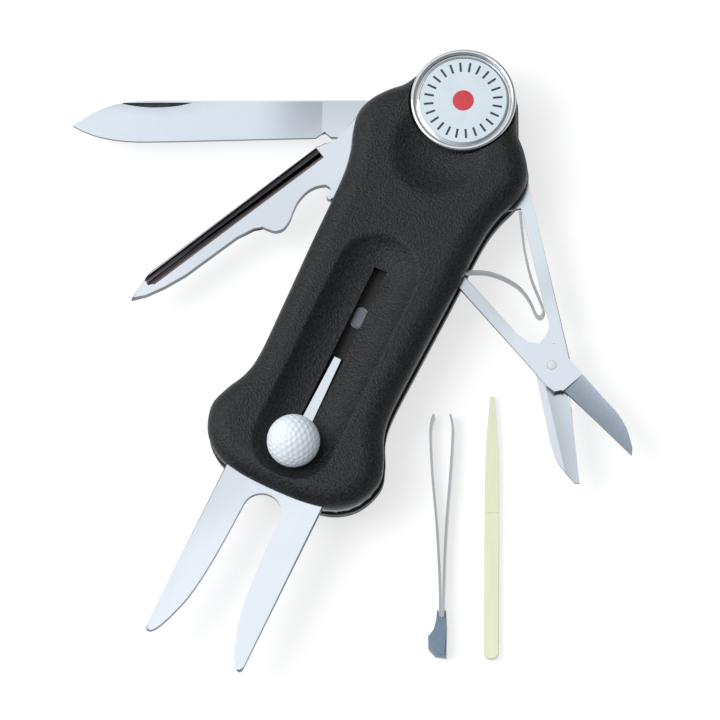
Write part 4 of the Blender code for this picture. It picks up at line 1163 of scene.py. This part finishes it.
route = smooth(
    [
        (-30.9, 0.85),
        (-26.9, 0.35),
        (-22.3, -0.05),
        (-17.4, 0.0),
        (-13.6, 0.55),
        (-11.4, 0.85),
        (-10.2, 0.6),
    ]
    + [
        (-9.8, -0.15),
        (-10.6, -0.75),
        (-13.4, -1.3),
        (-16.3, -2.6),
        (-18.8, -5.0),
        (-20.6, -7.8),
        (-21.4, -10.4),
    ]
    + [(-21.7, -12.0)],
    8,
)
low, high = (corner.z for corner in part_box("scissor_spring"))
spring = steel_strip(
    "scissor_spring_bent", placed(route, small_rivet, SCISSOR_TURN), SPRING_THICKNESS, low, high
)
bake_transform(spring)
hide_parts("scissor_spring")
print(spring.name, "faces:", len(spring.data.polygons))

# %% [markdown]
# ## Toothpick and tweezers
#
# Both lie beside the handle. The toothpick is moulded plastic with soft edges and a small
# stop line across it. The tweezers lie on edge, so only the thin edges of their leaves show.

# %% The tweezers
low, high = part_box("tweezer_leaf_left")
grip_at = (41.32 * MM, -60.23 * MM)
length, root = 47.0, 7.5
tip = length - 2.9
lines = {
    "left": [(root, 0.3), (14.0, 0.38), (25.0, 1.0), (tip - 8.0, 2.0), (tip, 2.35), (length, 1.75)],
    "right": [
        (root, -0.3), (14.0, -0.38), (25.0, -0.75), (tip - 8.0, -1.5), (tip, -1.85), (length, -1.35)
    ],
}
for side, line in lines.items():
    route = placed(smooth(line, 8), grip_at, TWEEZERS_TURN)
    leaf = steel_strip("tweezer_leaf_" + side + "_bent", route, LEAF_THICKNESS, low.z, high.z)
    leaf.data.materials[0] = leaf_steel
    hand_over(leaf, side + "_leaf", "tweezer_leaf_" + side)

shape = [
    (0.0, -0.9),
    (6.0, -0.95),
    (8.9, -0.8),
    (8.9, 0.85),
    (7.0, 0.95),
    (5.0, 1.1),
    (3.8, 2.5),
    (1.6, 2.45),
    (0.3, 1.2),
]
low, high = (corner.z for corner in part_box("tweezer_grip"))
grip = plate(
    "tweezer_grip_moulded",
    placed(shape, grip_at, TWEEZERS_TURN),
    low,
    high,
    0.3 * MM,
    blue_grey,
    blue_grey,
)
socket = prism(
    "leaf_socket",
    placed(rectangle(root - 0.1, -0.62, 15.0, 0.62), grip_at, TWEEZERS_TURN),
    low - MM,
    high + MM,
    blue_grey,
)
carve(grip, socket)
hand_over(grip, "tweezers", "tweezer_grip")

# %% The toothpick
pick_at = (49.81 * MM, -56.46 * MM)
half, length = 1.45, 51.0
edge_line = smooth(
    [
        (length - 18.0, half - 0.1),
        (length - 10.0, half - 0.3),
        (length - 4.0, half * 0.52),
        (length, half * 0.28),
    ],
)
foot = smooth([(1.2, -half), (0.3, -half + 0.5), (0.0, 0.0), (0.3, half - 0.4), (1.0, half)])
shape = edge_line + [(x, -y) for x, y in reversed(edge_line)] + foot
low, high = (corner.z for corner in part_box("toothpick"))
pick = plate(
    "toothpick_moulded", placed(shape[::-1], pick_at, PICK_TURN), low, high, 0.28 * MM, ivory, ivory
)
stop_line = prism(
    "stop_line",
    placed(rectangle(27.8, -2.0, 28.3, 2.0), pick_at, PICK_TURN),
    high - 0.12 * MM,
    high + MM,
    ivory,
)
carve(pick, stop_line)
hand_over(pick, "toothpick", "toothpick")

# %% [markdown]
# ## The pieces kept from the frame
#
# Liners, springs, the spacer and the rivets already have the right shape. Each one only needs
# its finish.

# %% Finishes for the kept pieces
kept = {
    "front_liner": liner_steel,
    "middle_liner": liner_steel,
    "back_liner": liner_steel,
    # The spacer takes the darkened band steel, painted shade.
    "lower_spacer": band_steel_painted_shade,
    "blade_backspring": spring_steel,
    "tool_backspring": spring_steel,
    "left_pivot_rivet": brass,
    "right_pivot_rivet": brass,
    "left_lower_rivet": brass,
    "right_lower_rivet": brass,
    "head_rivet": brass,
    "marker_magnet": magnet_nickel,
    "knob_rivet": liner_steel,
}
for node, finish in kept.items():
    for material_slot in frame["nodes"][node].material_slots:
        material_slot.material = finish
print("kept pieces:", len(kept))

# %% [markdown]
# ## Floor, light and camera
#
# The floor is plain and pale, and it glows a little, so the shadows on it stay faint. One broad
# lamp on the left gives the soft shadow. The surround is brightest where flat steel mirrors it,
# and dimmer all round, so that bevels and round edges show.

# %% The floor
FLOOR_GLOW = 0.68
floor_mesh = bmesh.new()
bmesh.ops.create_grid(floor_mesh, x_segments=1, y_segments=1, size=1.5)
pale_floor = make_finish(
    "pale_floor", (0.36, 0.36, 0.36), (0.35, 0.35, 0.35), (0.7, 0.8), (40, 1e-6, 0.0)
)
floor = solid("floor", floor_mesh, (pale_floor,))
floor.location.z = -0.02 * MM
pale = pale_floor.node_tree.nodes["Principled BSDF"]
pale.inputs["Emission Color"].default_value = (1.0, 1.0, 1.0, 1.0)
pale.inputs["Emission Strength"].default_value = FLOOR_GLOW

# %% The camera
CAMERA_DISTANCE, FOCAL_LENGTH = 3.0, 797.1
AZIMUTH, ELEVATION, ROLL = math.radians(37.281), math.radians(74.015), math.radians(12.0)
target = Vector((3.864 * MM, -16.548 * MM, 10.85 * MM))
reach = math.cos(ELEVATION)
toward = Vector((math.sin(AZIMUTH) * reach, -math.cos(AZIMUTH) * reach, math.sin(ELEVATION)))
level_x = Vector((math.cos(AZIMUTH), math.sin(AZIMUTH), 0.0))
level_y = toward.cross(level_x)
right = level_x * math.cos(ROLL) - level_y * math.sin(ROLL)
up = level_x * math.sin(ROLL) + level_y * math.cos(ROLL)
lens = bpy.data.cameras.new("camera")
lens.lens = FOCAL_LENGTH
lens.clip_end = 10.0
camera = bpy.data.objects.new("camera", lens)
bpy.context.scene.collection.objects.link(camera)
turn = Matrix((right, up, toward)).transposed().to_4x4()
camera.matrix_world = Matrix.Translation(target + toward * CAMERA_DISTANCE) @ turn
bpy.context.scene.camera = camera


# %% The lamps
def lamp(name, direction, distance, side, watts, colour=(1.0, 1.0, 1.0)):
    data = bpy.data.lights.new(name, "AREA")
    data.shape = "SQUARE"
    data.size = side
    data.energy = watts
    data.color = colour
    made = bpy.data.objects.new(name, data)
    bpy.context.scene.collection.objects.link(made)
    direction = direction.normalized()
    made.location = target + direction * distance
    made.rotation_euler = direction.to_track_quat("Z", "Y").to_euler()
    return made


KEY_DISTANCE, KEY_SIDE, KEY_WATTS = 0.9, 0.5, 4.4
lamp("key", up * 0.35 - right * 0.75 + toward * 0.95, KEY_DISTANCE, KEY_SIDE, KEY_WATTS)

# %% The surround
SKY_DIM, SKY_BRIGHT = 0.32, 1.32
SKY_RISE_FROM, SKY_RISE_TO = 0.45, 0.97
mirror = Vector((-toward.x, -toward.y, toward.z))
world = bpy.data.worlds.new("surround")
world.use_nodes = True
sky, sky_links = world.node_tree.nodes, world.node_tree.links
brightest = (mirror - right * 0.6 + up * 0.1).normalized()
direction = sky.new("ShaderNodeTexCoord")
facing = sky.new("ShaderNodeVectorMath")
facing.operation = "DOT_PRODUCT"
facing.inputs[1].default_value = brightest
sky_links.new(direction.outputs["Generated"], facing.inputs[0])
rise = sky.new("ShaderNodeMapRange")
rise.interpolation_type = "SMOOTHSTEP"
rise.inputs["From Min"].default_value = SKY_RISE_FROM
rise.inputs["From Max"].default_value = SKY_RISE_TO
rise.inputs["To Min"].default_value = SKY_DIM
rise.inputs["To Max"].default_value = SKY_BRIGHT
sky_links.new(facing.outputs["Value"], rise.inputs["Value"])
sky["Background"].inputs["Color"].default_value = (0.96, 0.975, 1.0, 1.0)
sky_links.new(rise.outputs["Result"], sky["Background"].inputs["Strength"])
bpy.context.scene.world = world
bpy.context.scene.view_settings.view_transform = "Standard"
